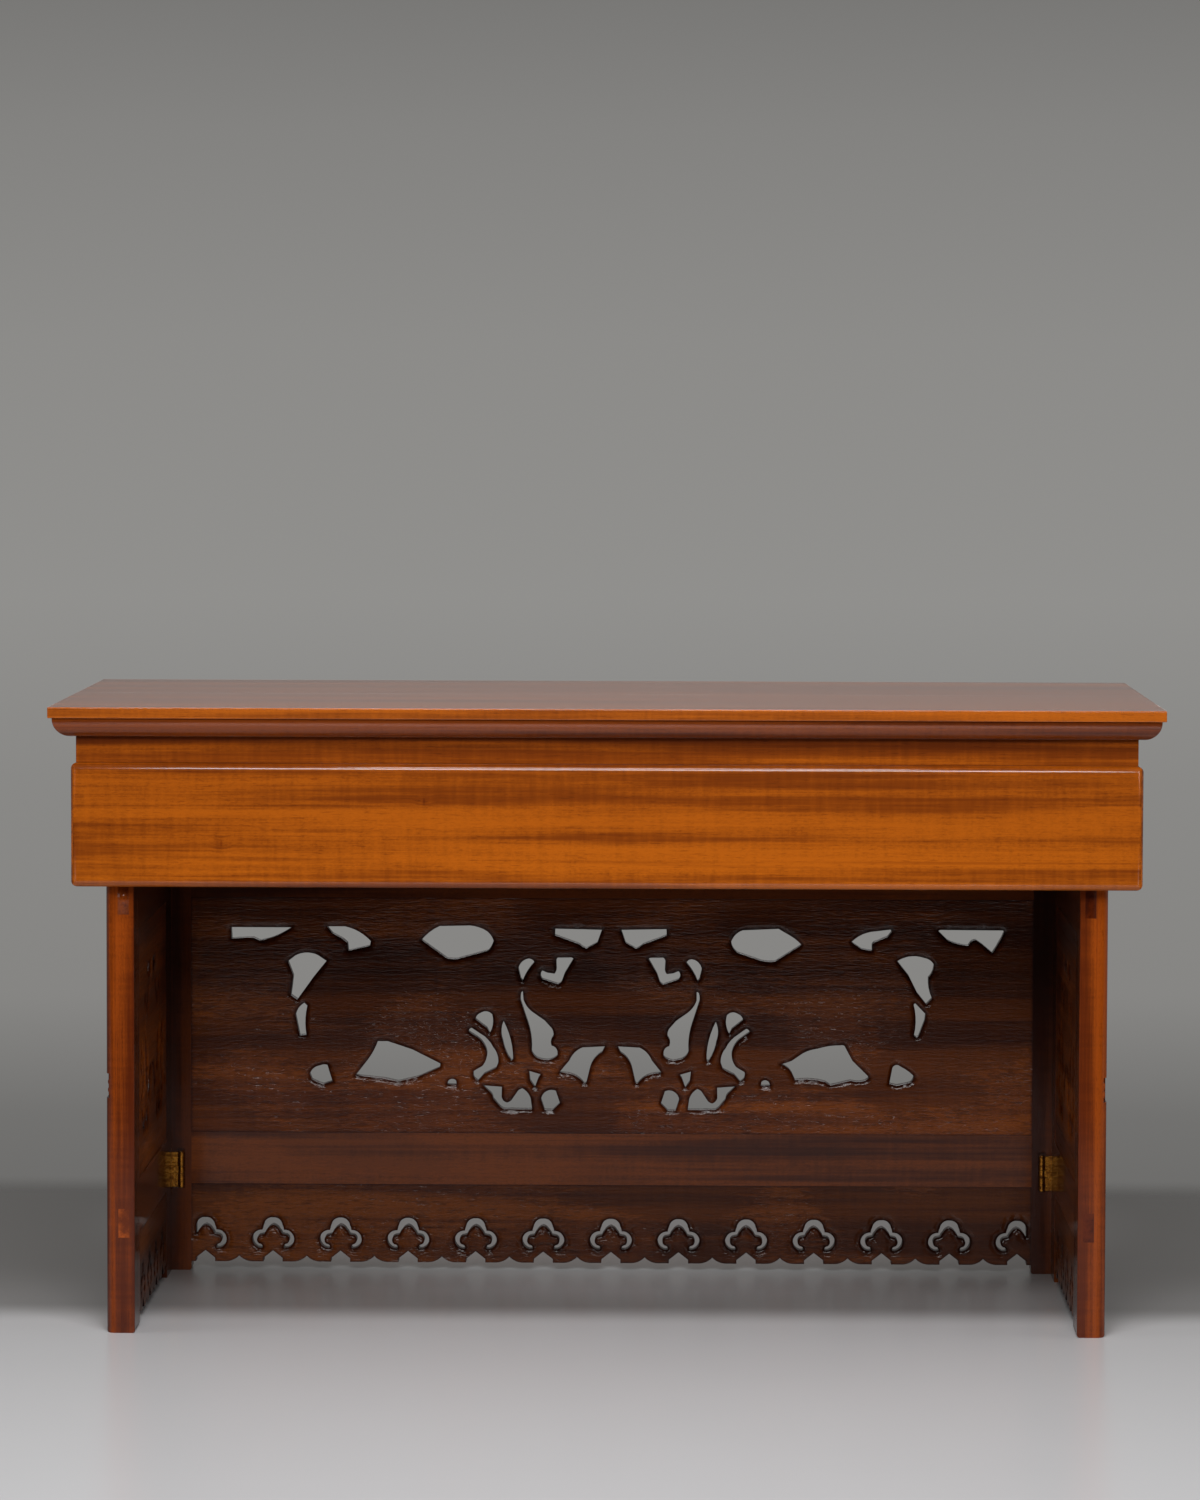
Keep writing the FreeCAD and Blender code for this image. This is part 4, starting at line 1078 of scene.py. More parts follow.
@dataclass
class ScrollRelief(Relief):
    """A traditional relief of round flowers, leaves and tendrils over a sunk ground.

    Every piercing has a stem round it, as in pierced work whose gaps lie between carved stems.
    """

    middle: tuple[float, float] = (0.0, 0.0)
    half_size: tuple[float, float] = (1.0, 1.0)
    blooms: list[Triple] = field(default_factory=list)
    leaves: list[tuple[float, float, float, float, float, float]] = field(default_factory=list)
    scrolls: list[tuple[float, float, float, float, float]] = field(default_factory=list)
    depth: float = 5.0 * MM
    border: float = 7 * MM
    stem_place: float = 3.0 * MM
    stem_half_width: float = 2.6 * MM
    stem_height: float = 0.62
    stem_scale: float = 160.0
    ground_scale: float = 300.0
    rim_reach: float = 1.6 * MM
    seed: float = 7.0

    def depths(self, points: np.ndarray, edge: np.ndarray) -> np.ndarray:
        """The depth of the carving below the board's outer face.

        Args:
            points: rows of across and up.
            edge: each point's distance from the nearest piercing.

        Returns:
            One depth per point.
        """
        place = points - np.array(self.middle)
        height = 0.05 + 0.05 * uneven(points, self.ground_scale, self.seed)
        stem = self.stem_height * rounded(edge - self.stem_place, self.stem_half_width)
        knobs = 0.06 * uneven(points, self.stem_scale, self.seed + 2) * (stem > 0)
        height = np.maximum(height, stem + knobs)
        for scroll in self.scrolls:
            height = np.maximum(height, self.scroll(place, *scroll))
        for leaf in self.leaves:
            height = np.maximum(height, self.leaf(place, *leaf))
        for bloom in self.blooms:
            flower, reach = self.bloom(place, *bloom)
            height = np.where(reach > 0, np.maximum(flower, 0.1), height)
        height = height * (0.45 + 0.55 * eased(edge / self.rim_reach))
        margin = np.min(np.array(self.half_size) - np.abs(place), axis=1)
        bead = rounded(margin - 0.62 * self.border, 0.34 * self.border) * (margin < self.border)
        height = np.maximum(height, np.where(margin < 0.3 * self.border, 1.0, bead))
        return (1 - np.clip(height, 0, 1)) * self.depth

    def bloom(
        self, place: np.ndarray, across: float, up: float, radius: float
    ) -> tuple[np.ndarray, np.ndarray]:
        """A round flower of three rings of petals about a seed head.

        Args:
            place: rows of across and up, from the board's middle.
            across: the flower's own place.
            up: the flower's own place.
            radius: how far its longest petals reach.

        Returns:
            The flower's height, and 1 within its outline.
        """
        offset = place - np.array([across, up])
        distance = np.linalg.norm(offset, axis=1) / radius
        angle = np.arctan2(offset[:, 1], offset[:, 0])
        height = np.zeros(len(place))
        reached = np.zeros(len(place))
        for ring, (reach, count, level) in enumerate(PETAL_RINGS):
            turn = angle * count / 2 + ring * math.pi / 2
            petal = np.abs(np.cos(turn))
            tip = reach * (0.78 + 0.22 * petal**0.6)
            inside = eased((tip - distance) / 0.05)
            rise = 0.62 + 0.38 * eased(distance / tip * 1.1) * (0.55 + 0.45 * petal)
            gap = np.exp(-((np.cos(turn) * distance / 0.045) ** 2))
            ribs = 0.06 * np.cos(angle * count * 5) * distance
            level_here = inside * np.clip(level * rise - 0.35 * gap - ribs, 0.02, 1)
            height = np.where(inside > 0.5, np.maximum(level_here, height * (1 - inside)), height)
            reached = np.maximum(reached, inside > 0.5)
        seeds = 0.12 * np.cos(offset[:, 0] * 2400) * np.cos(offset[:, 1] * 2400)
        head = eased((0.26 - distance) / 0.05)
        return np.where(head > 0.3, head * (0.84 + seeds), height), reached

    def leaf(
        self,
        place: np.ndarray,
        across: float,
        up: float,
        turn: float,
        length: float,
        width: float,
        curl: float,
    ) -> np.ndarray:
        """A pointed leaf with a midrib and side veins that curls to one side.

        Args:
            place: rows of across and up, from the board's middle.
            across: where the leaf starts.
            up: where the leaf starts.
            turn: the direction in which it grows.
            length: from its start to its tip.
            width: half of its greatest width.
            curl: how far its tip bends aside.

        Returns:
            The leaf's height, and 0 outside it.
        """
        offset = place - np.array([across, up])
        along = (offset[:, 0] * math.cos(turn) + offset[:, 1] * math.sin(turn)) / length
        aside = (offset[:, 1] * math.cos(turn) - offset[:, 0] * math.sin(turn)) / length
        aside = aside - curl * along * along
        reach = np.clip(along, 0, 1)
        lobes = 1 + 0.16 * np.abs(np.sin(along * 14))
        half = width / length * np.sin(math.pi * reach**0.75) ** 0.8 * lobes
        share = np.clip(np.abs(aside) / np.maximum(half, 1e-6), 0, 1.5)
        body = 0.40 + 0.42 * rounded(share - 0.45, 0.62)
        rib = 0.22 * np.exp(-((aside * length / (0.8 * MM)) ** 2))
        veins = 0.10 * np.cos((along * 26 - share * 4.0) * 1.6)
        inside = (along > 0) & (along < 1) & (share < 1)
        return np.where(inside, (body - rib + veins) * eased((1 - share) / 0.14), 0)

    def scroll(
        self, place: np.ndarray, across: float, up: float, radius: float, turn: float, sense: float
    ) -> np.ndarray:
        """A spiral tendril with a round section and a button at its eye.

        Args:
            place: rows of across and up, from the board's middle.
            across: the spiral's own place.
            up: the spiral's own place.
            radius: how far it reaches.
            turn: the angle at which it starts.
            sense: 1 or -1, the way in which it winds.

        Returns:
            The tendril's height, and 0 outside it.
        """
        offset = place - np.array([across, up])
        distance = np.linalg.norm(offset, axis=1)
        angle = np.arctan2(offset[:, 1], offset[:, 0]) * sense - turn
        pitch = radius / 2.2
        phase = (distance / pitch - angle / (2 * math.pi)) % 1.0
        ridge = 0.80 * rounded(phase - 0.5, 0.36)
        eye = eased((pitch * 0.55 - distance) / (0.3 * pitch))
        return np.maximum(ridge, eye) * eased((radius - distance) / (0.10 * radius))


@dataclass
class Shell:
    """The points, faces and darkening, stain with painted shade, of a board that is being put together."""

    points: list[np.ndarray] = field(default_factory=list)
    faces: list[tuple[int, ...]] = field(default_factory=list)
    stains_and_painted_shades: list[np.ndarray] = field(default_factory=list)
    count: int = 0

    def layer(self, points: np.ndarray, hollow: np.ndarray) -> np.ndarray:
        """Adds a layer of points and returns their numbers.

        Args:
            points: rows of x, y and z.
            hollow: how dark each is painted, by stain and painted shade.

        Returns:
            The points' numbers.
        """
        numbers = np.arange(self.count, self.count + len(points))
        self.points.append(points)
        self.stains_and_painted_shades.append(hollow)
        self.count += len(points)
        return numbers

    def fill(self, numbers: np.ndarray, faces: np.ndarray) -> None:
        """Adds faces between the points of one layer, whose numbers are given."""
        self.faces += [tuple(int(number) for number in numbers[face]) for face in faces]

    def belt(self, lower: np.ndarray, upper: np.ndarray) -> None:
        """Joins two closed rows of points with a belt of four-sided faces."""
        rows = zip(lower, np.roll(lower, -1), np.roll(upper, -1), upper)
        self.faces += [tuple(int(number) for number in row) for row in rows]

    def mesh(self, name: str) -> bpy.types.Mesh:
        """Turns the parts into a mesh whose faces point outwards.

        Args:
            name: the mesh's name.

        Returns:
            The mesh.
        """
        mesh = bpy.data.meshes.new(name)
        mesh.from_pydata(np.concatenate(self.points).tolist(), [], self.faces)
        set_values(mesh, "hollow", "POINT", np.concatenate(self.stains_and_painted_shades))
        tidy = bmesh.new()
        tidy.from_mesh(mesh)
        bmesh.ops.recalc_face_normals(tidy, faces=tidy.faces)
        tidy.to_mesh(mesh)
        tidy.free()
        return mesh


@dataclass
class CarvedBoard(Board):
    """A pierced board with rounded edges and two carved faces.

    Its rings are divided by the share rim_step of the net's spacing.
    """

    thickness: float = 14 * MM
    proud: float = 1.1 * MM
    edge_round: float = 0.5 * MM
    spacing: float = 1.7 * MM
    close_rows: tuple[float, ...] = (0.6 * MM, 1.3 * MM, 2.1 * MM, 3.0 * MM)
    # Stain with painted shade along the piercings, a painted shadow in the joint along the border, and
    # painted shade in the outer face's sunk ground
    edge_shade_and_stain_reach: float = 1.5 * MM
    painted_joint_shadow: float = 0.8 * MM
    border_gap: float = 0.5 * MM
    sharp_angle: float = math.radians(55)
    rim_step: float = 0.85
    smallest_cell: float = 0.55 * MM
    rim_gap: float = 0.42 * MM
    outer_rim_stain: float = 0.7
    painted_ground_shade: float = 0.85
    weld: float = 1e-7
    outer_relief: Relief = field(default_factory=Relief)
    inner_relief: Relief = field(default_factory=Relief)

    @property
    def across(self) -> int:
        """The number of the axis that runs across the board."""
        return 0 if abs(self.inward[1]) > 0.5 else 1

    @property
    def depth(self) -> float:
        """The board's whole depth; its inner face stands a little nearer than the solid's."""
        return self.thickness + self.proud

    def outline(self) -> tuple[Outline, float]:
        """Reads the inner face's rings from the solid.

        Returns:
            The rings, and the inner face's place along the outward axis.
        """
        outward = -Vector(self.inward)
        copy = node_copy(self.node)
        flat = [face for face in copy.faces if face.normal.dot(outward) < -0.99]
        level = min(face.calc_center_median().dot(outward) for face in flat)
        nearest = [face for face in flat if face.calc_center_median().dot(outward) < level + SAME_PLACE]
        chosen = set(nearest)
        following = {}
        # Not in the set's order, which changes from run to run and would move the rings' first points
        for face in nearest:
            for loop in face.loops:
                others = [other for other in loop.edge.link_faces if other is not face]
                if not any(other in chosen for other in others):
                    following[loop.vert] = loop.link_loop_next.vert
        rings = []
        while following:
            vertex = next(iter(following))
            ring = []
            while vertex in following:
                ring.append((vertex.co[self.across], vertex.co.z))
                vertex = following.pop(vertex)
            rings.append(resampled(np.array(ring), self.spacing * self.rim_step))
        copy.free()
        rings.sort(key=lambda ring: -abs(area_of(ring)))
        return Outline([ring if area_of(ring) > 0 else ring[::-1] for ring in rings]), level

    def build(self, material: bpy.types.Material) -> bpy.types.Object:
        """Builds the board: two carved faces and the walls between them.

        Args:
            material: the board's finish.

        Returns:
            The piece.
        """
        outline, level = self.outline()
        softened_holes = [widened(ring, self.edge_round) for ring in outline.holes]
        wood = Outline([outline.rings[0], *softened_holes])
        points, faces = self.net(wood)
        edge = distances(points, wood.holes)
        level -= self.proud
        outer = self.outer_relief.depths(points, edge)
        inner = self.inner_relief.depths(points, edge)
        inner_shade_and_stain, outer_shade_and_stain = self.shades_and_stains(edge, distances(points, outline.rings[:1]), outer)
        shell = Shell()
        inner_numbers = shell.layer(self.placed(points, inner, level), inner_shade_and_stain)
        outer_numbers = shell.layer(self.placed(points, self.depth - outer, level), outer_shade_and_stain)
        shell.fill(inner_numbers, faces)
        shell.fill(outer_numbers, faces[:, ::-1])
        first = 0
        for number, ring in enumerate(outline.rings):
            rim = slice(first, first + len(ring))
            first += len(ring)
            self.wall(shell, ring, 0.0 if number == 0 else self.edge_round, level, rim, inner, outer)
        piece = finished(f"{self.node}_carved", shell.mesh(f"{self.node}_carved"), material)
        piece.data.set_sharp_from_angle(angle=self.sharp_angle)
        return self.place(piece)

    def shades_and_stains(
        self, edge: np.ndarray, border: np.ndarray, outer: np.ndarray
    ) -> tuple[np.ndarray, np.ndarray]:
        """How dark each point is: stain with painted shade along the piercings, a painted shadow in the
        joint along the border, and painted shade in the outer face's sunk ground.

        Args:
            edge: each point's distance from the nearest piercing.
            border: each point's distance from the board's own edge.
            outer: the depths of the outer face's carving.

        Returns:
            The inner face's darkening and the outer face's darkening.
        """
        # Painted shadow in the joint along the board's border
        joint_shadow = np.exp(-((border / self.painted_joint_shadow) ** 2))
        inner_shade_and_stain = np.maximum(np.exp(-((edge / self.edge_shade_and_stain_reach) ** 2)), joint_shadow)
        # Painted shade in the sunk ground, darker where the carving is deeper
        deepest = max(self.outer_relief.depth, MM)
        ground_shade = self.painted_ground_shade * np.clip(outer / deepest, 0, 1) ** 1.3
        return inner_shade_and_stain, np.maximum(inner_shade_and_stain * self.outer_rim_stain, ground_shade)

    def wall(
        self,
        shell: Shell,
        ring: np.ndarray,
        soft: float,
        level: float,
        rim: slice,
        inner: np.ndarray,
        outer: np.ndarray,
    ) -> None:
        """Adds the wall along one ring, rounded where it meets the faces.

        Args:
            shell: the board so far, which is changed.
            ring: the wall's own outline.
            soft: the radius of the rounding, or 0 for a straight wall.
            level: the inner face's place along the outward axis.
            rim: which of the net's points lie along the ring.
            inner: the depths of the inner face's carving.
            outer: the depths of the outer face's carving.
        """
        belts = [np.arange(rim.start, rim.stop)]
        halfway = 0.3 * soft
        rounding = (
            (halfway, inner[rim] + halfway),
            (0.0, inner[rim] + soft),
            (0.0, self.depth - outer[rim] - soft),
            (halfway, self.depth - outer[rim] - halfway),
        )
        # The rounded edges of the piercings are darkened fully: stain with painted shade
        for beside, depth in rounding if soft else ():
            belts.append(shell.layer(self.placed(widened(ring, beside), depth, level), np.ones(len(ring))))
        belts.append(np.arange(rim.start, rim.stop) + len(inner))
        for lower, upper in zip(belts, belts[1:]):
            shell.belt(lower, upper)

    def placed(self, points: np.ndarray, depth: np.ndarray, level: float) -> np.ndarray:
        """Puts points of the board's face into the table's own frame, at a depth from the inner face.

        Args:
            points: rows of across and up.
            depth: how far each lies outwards from the inner face.
            level: the inner face's place along the outward axis.

        Returns:
            Rows of x, y and z.
        """
        outward = -self.inward[1 - self.across]
        places = np.zeros((len(points), 3))
        places[:, self.across] = points[:, 0]
        places[:, 2] = points[:, 1]
        places[:, 1 - self.across] = (level + depth) * outward
        return places

    def net(self, wood: Outline) -> tuple[np.ndarray, np.ndarray]:
        """Fills the wood between the rings with a close net of triangles.

        Args:
            wood: the rings of the face.

        Returns:
            The net's points with the rings' points first, and its triangles.
        """
        rim = np.concatenate(wood.rings)
        rows = [widened(ring, reach) for ring in wood.holes for reach in self.close_rows]
        points = np.concatenate([rim, self.filling(wood, rim, np.concatenate(rows))])
        edges = []
        first = 0
        for ring in wood.rings:
            count = len(ring)
            edges += [(first + number, first + (number + 1) % count) for number in range(count)]
            first += count
        made = delaunay_2d_cdt([Vector(point) for point in points], edges, [], 0, self.weld)
        made_points = np.array([tuple(point) for point in made[0]])
        if len(made_points) != len(points):
            LOG.warning("%s: the net has %d points for %d", self.node, len(made_points), len(points))
        faces = np.array([face for face in made[2] if len(face) == 3])
        order = np.full(len(made_points), -1)
        for new, originals in enumerate(made[3]):
            if originals:
                order[new] = originals[0]
        faces = order[faces[wood.contains(made_points[faces].mean(1))]]
        return points, faces[(faces >= 0).all(1)]

    def filling(self, wood: Outline, rim: np.ndarray, rows: np.ndarray) -> np.ndarray:
        """The points between the rings: close rows along the piercings, and a staggered grid elsewhere.

        Args:
            wood: the rings of the face.
            rim: the points of all rings.
            rows: the points of the close rows along the piercings.

        Returns:
            Rows of across and up.
        """
        low, high = rim.min(0), rim.max(0)
        steps = np.ceil((high - low) / self.spacing).astype(int)
        across, up = np.meshgrid(*(np.linspace(low[axis], high[axis], steps[axis] + 1) for axis in (0, 1)))
        grid = np.stack([across, up], -1)
        grid[1::2, :, 0] += (high[0] - low[0]) / steps[0] / 2
        grid = grid.reshape(-1, 2)
        clear = distances(grid, wood.holes) > self.close_rows[-1] + 0.5 * self.spacing
        clear &= distances(grid, wood.rings[:1]) > self.border_gap
        candidates = np.concatenate([rows, grid[clear]])
        candidates = candidates[wood.contains(candidates)]
        cells = np.unique(np.round(candidates / self.smallest_cell), axis=0, return_index=True)[1]
        candidates = candidates[np.sort(cells)]
        tree = kd_tree(rim)
        apart = [tree.find((across, up, 0))[2] > self.rim_gap for across, up in candidates]
        return candidates[np.array(apart)]


# Repeated parts made by geometry nodes


@dataclass
class GeometryTree:
    """A geometry node tree with a mesh input and named sizes."""

    name: str
    sizes: dict[str, float]
    material: bpy.types.Material

    def __post_init__(self) -> None:
        """Starts the tree."""
        self.tree = bpy.data.node_groups.new(self.name, "GeometryNodeTree")
        self.tree.interface.new_socket("Geometry", in_out="INPUT", socket_type="NodeSocketGeometry")
        for name in self.sizes:
            self.tree.interface.new_socket(name, in_out="INPUT", socket_type="NodeSocketFloat")
        self.tree.interface.new_socket("Geometry", in_out="OUTPUT", socket_type="NodeSocketGeometry")
        self.nodes = Nodes(self.tree)
        self.given = self.nodes.add("NodeGroupInput").outputs

    def close(self, geometry: bpy.types.NodeSocket) -> None:
        """Ends the tree in real, finished geometry.

        Args:
            geometry: what the tree has made.
        """
        real = self.nodes.add("GeometryNodeRealizeInstances", {"Geometry": geometry})
        dressed = self.nodes.add("GeometryNodeSetMaterial", {"Geometry": real.outputs[0]})
        dressed.inputs["Material"].default_value = self.material
        self.nodes.add("NodeGroupOutput", {0: dressed.outputs[0]})

    def run(self, name: str, start: bpy.types.Mesh) -> bpy.types.Object:
        """Runs the tree on a starting mesh.

        Args:
            name: the piece's name.
            start: the mesh that goes in.

        Returns:
            The piece, as plain mesh.
        """
        piece = bpy.data.objects.new(name, start)
        bpy.context.scene.collection.objects.link(piece)
        modifier = piece.modifiers.new(self.name, "NODES")
        modifier.node_group = self.tree
        for socket in self.tree.interface.items_tree:
            if socket.in_out == "INPUT" and socket.name in self.sizes:
                modifier[socket.identifier] = self.sizes[socket.name]
        applied(piece)
        piece.data.polygons.foreach_set("use_smooth", [True] * len(piece.data.polygons))
        return piece


@dataclass
class CloudRims:
    """A thin bead carved round each cloud piercing on a scalloped board's outer face.

    It is sunk into the face by bead_sink times its radius.
    """

    board: CarvedBoard
    bead_radius: float = 0.9 * MM
    bead_sides: int = 8
    bead_sink: float = 1.1
    beside: float = 1.9 * MM
    step: float = 1.3 * MM

    def build(self, material: bpy.types.Material) -> bpy.types.Object:
        """Builds the beads of one board.

        Args:
            material: the board's finish.

        Returns:
            The piece.
        """
        sizes = {"Step": self.step, "Bead Radius": self.bead_radius}
        tree = GeometryTree(f"{self.board.node}_rims", sizes, material)
        nodes, given = tree.nodes, tree.given
        curve = nodes.add("GeometryNodeMeshToCurve", {0: given["Geometry"]})
        inputs = {"Curve": curve.outputs[0], "Length": given["Step"]}
        even = nodes.add("GeometryNodeResampleCurve", inputs, mode="LENGTH")
        inputs = {"Resolution": self.bead_sides, "Radius": given["Bead Radius"]}
        profile = nodes.add("GeometryNodeCurvePrimitiveCircle", inputs)
        swept = nodes.add("GeometryNodeCurveToMesh", {0: even.outputs[0], 1: profile.outputs[0]})
        tree.close(swept.outputs[0])
        piece = tree.run(f"{self.board.node}_rims", self.paths())
        self.board.write_grain(piece.data)
        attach(piece, self.board.body)
        LOG.info("%s rides on %s", piece.name, self.board.body)
        return piece

    def paths(self) -> bpy.types.Mesh:
        """The closed lines that the beads follow, as a mesh of edges.

        Returns:
            The mesh.
        """
        outline, level = self.board.outline()
        mesh = bpy.data.meshes.new(f"{self.board.node}_rim_paths")
        places = []
        edges = []
        for ring in outline.holes:
            line = widened(ring, self.beside)
            depth = np.full(len(line), self.board.thickness - self.bead_sink * self.bead_radius)
            first = len(places)
            places += self.board.placed(line, depth, level).tolist()
            edges += [(first + number, first + (number + 1) % len(line)) for number in range(len(line))]
        mesh.from_pydata(places, edges, [])
        return mesh


@dataclass
class SlottedScrews:
    """The countersunk, slotted screws of one hinge side, made where the solids are.

    The slot's cutter is slot_length times the head's radius long, and each shank starts inside its head.
    """

    node: str
    body: str
    facing: float
    head_height: float = 1.3 * MM
    shank_radius: float = 1.1 * MM
    overlap: float = 0.4 * MM
    slot_width: float = 0.55 * MM
    slot_depth: float = 0.6 * MM
    slot_length: float = 2.4
    sides: int = 28
    seed: int = 4

    def build(self, material: bpy.types.Material) -> bpy.types.Object:
        """Builds the node's screws.

        Args:
            material: the screws' finish.

        Returns:
            The piece.
        """
        boxes = part_boxes(self.node)
        low, high = boxes[0]
        sizes = {
            "Head Radius": (high.x - low.x) / 2,
            "Head Height": self.head_height,
            "Shank Start": self.head_height - self.overlap,
            "Shank Radius": self.shank_radius,
            "Shank Length": high.y - low.y - self.head_height + self.overlap,
            "Slot Width": self.slot_width,
            "Slot Depth": self.slot_depth,
        }
        tree = GeometryTree(self.node, sizes, material)
        tree.close(self.rows(tree, self.screw(tree)))
        start = bpy.data.meshes.new(f"{self.node}_places")
        faces = [low.y if self.facing < 0 else high.y for low, high in boxes]
        middles = [(low + high) / 2 for low, high in boxes]
        start.from_pydata([(middle.x, face, middle.z) for middle, face in zip(middles, faces)], [], [])
        piece = tree.run(f"{self.node}_slotted", start)
        piece.data.polygons.foreach_set("use_smooth", [False] * len(piece.data.polygons))
        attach(piece, self.body)
        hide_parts(self.node)
        LOG.info("%s rides on %s", piece.name, self.body)
        return piece

    def screw(self, tree: GeometryTree) -> bpy.types.NodeSocket:
        """One screw: a slotted cone over a plain shank, its head at the origin and its shank along Z.

        Args:
            tree: the tree that it is built in.

        Returns:
            The screw.
        """
        joined = tree.nodes.add("GeometryNodeJoinGeometry")
        for part in (self.head(tree), self.shank(tree)):
            tree.tree.links.new(part, joined.inputs[0])
        return joined.outputs[0]

    def head(self, tree: GeometryTree) -> bpy.types.NodeSocket:
        """The slotted, countersunk head.

        Args:
            tree: the tree that it is built in.

        Returns:
            The head.
        """
        nodes, given = tree.nodes, tree.given
        inputs = {
            "Vertices": self.sides,
            "Radius Top": given["Shank Radius"],
            "Radius Bottom": given["Head Radius"],
            "Depth": given["Head Height"],
        }
        cone = nodes.add("GeometryNodeMeshCone", inputs).outputs["Mesh"]
        length = nodes.math("MULTIPLY", given["Head Radius"], self.slot_length)
        depth = nodes.math("MULTIPLY", given["Slot Depth"], 2.0)
        size = nodes.add("ShaderNodeCombineXYZ", {0: length, 1: given["Slot Width"], 2: depth}).outputs[0]
        slot = nodes.add("GeometryNodeMeshCube", {"Size": size}).outputs["Mesh"]
        cut = nodes.add("GeometryNodeMeshBoolean", {0: cone, 1: slot}, operation="DIFFERENCE")
        return cut.outputs["Mesh"]

    def shank(self, tree: GeometryTree) -> bpy.types.NodeSocket:
        """The plain shank, which starts inside the head.

        Args:
            tree: the tree that it is built in.

        Returns:
            The shank.
        """
        nodes, given = tree.nodes, tree.given
        inputs = {"Vertices": self.sides, "Radius": given["Shank Radius"], "Depth": given["Shank Length"]}
        shank = nodes.add("GeometryNodeMeshCylinder", inputs).outputs["Mesh"]
        rise = nodes.math("ADD", given["Shank Start"], nodes.math("MULTIPLY", given["Shank Length"], 0.5))
        shift = nodes.add("ShaderNodeCombineXYZ", {2: rise}).outputs[0]
        return nodes.add("GeometryNodeTransform", {"Geometry": shank, "Translation": shift}).outputs[0]

    def rows(self, tree: GeometryTree, screw: bpy.types.NodeSocket) -> bpy.types.NodeSocket:
        """Puts a screw on each point, its slot turned at random with a fixed seed.

        Args:
            tree: the tree that they are built in.
            screw: the screw that is repeated.

        Returns:
            All screws of the node.
        """
        nodes = tree.nodes
        chance = nodes.add("FunctionNodeRandomValue", {"Seed": self.seed}, data_type="FLOAT")
        turn = nodes.math("MULTIPLY", chance.outputs[1], math.pi)
        about = nodes.add("FunctionNodeAxisAngleToRotation", {"Axis": (0, 0, 1), "Angle": turn}).outputs[0]
        tilt = (math.pi / 2 * self.facing, 0, 0)
        lean = nodes.add("FunctionNodeEulerToRotation", {0: tilt}).outputs[0]
        aimed = nodes.add("FunctionNodeRotateRotation", {"Rotation": about, "Rotate By": lean})
        aimed.rotation_space = "GLOBAL"
        inputs = {"Points": tree.given["Geometry"], "Instance": screw, "Rotation": aimed.outputs[0]}
        return nodes.add("GeometryNodeInstanceOnPoints", inputs).outputs[0]


# Sub-assemblies


@dataclass
class Lid:
    """The lift-off top: planks, moulding, battens, waist and apron."""

    body: str = "top"
    edges: tuple[str, ...] = ("near", "far", "left", "right")
    arris: float = 0.25 * MM
    # Painted shade under the top's overhang, from foot to head: all over the moulding, towards the top of
    # the waist and, more faintly, towards the top of the apron
    shades_and_stains: dict[str, tuple[float, float]] = field(
        default_factory=lambda: {"moulding": (0.85, 0.85), "waist": (0.0, 0.75), "apron": (0.0, 0.3)}
    )

    def build(self) -> None:
        """Builds every board of the lid."""
        top = TOP_LACQUER.material()
        orange = ORANGE_LACQUER.material()
        for name in ("plank_near", "plank_far"):
            Board(name, self.body, "top_wood", Way.ALONG, arris=self.arris).build(top)
        for part, shade_and_stain in self.shades_and_stains.items():
            for edge in self.edges:
                way = Way.ALONG if edge in ("near", "far") else Way.ACROSS
                board = Board(f"{part}_{edge}", self.body, "apron_wood", way, arris=self.arris, shade_and_stain=shade_and_stain)
                board.build(orange)
        for side in ("left", "right"):
            Board(f"batten_{side}", self.body, "apron_wood", Way.ACROSS).build(orange)


@dataclass
class ScrollPlan:
    """Where half of a panel's carving lies, in metres from the middle; the other half mirrors it."""

    tongue: float
    blooms: tuple[Triple, ...]
    leaves: tuple[tuple[float, float, float, float, float, float], ...]
    scrolls: tuple[tuple[float, float, float, float], ...]

    def relief(self, node: str) -> ScrollRelief:
        """The whole relief on one panel.

        Args:
            node: the panel's solid, whose opening it fills.

        Returns:
            The relief.
        """
        low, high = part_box(node)
        across = 0 if high.x - low.x > high.y - low.y else 1
        middle = ((low[across] + high[across]) / 2, (low.z + high.z) / 2)
        half = ((high[across] - low[across]) / 2 - self.tongue, (high.z - low.z) / 2 - self.tongue)
        relief = ScrollRelief(middle=middle, half_size=half)
        for sign in (-1, 1):
            for place, up, turn, length, width, curl in self.leaves:
                angle = turn if sign > 0 else math.pi - turn
                relief.leaves.append((sign * place, up, angle, length, width, curl * sign))
            for place, up, radius, turn in self.scrolls:
                relief.scrolls.append((sign * place, up, radius, turn, float(sign)))
            for place, up, radius in self.blooms:
                relief.blooms.append((sign * place, up, radius))
        return relief


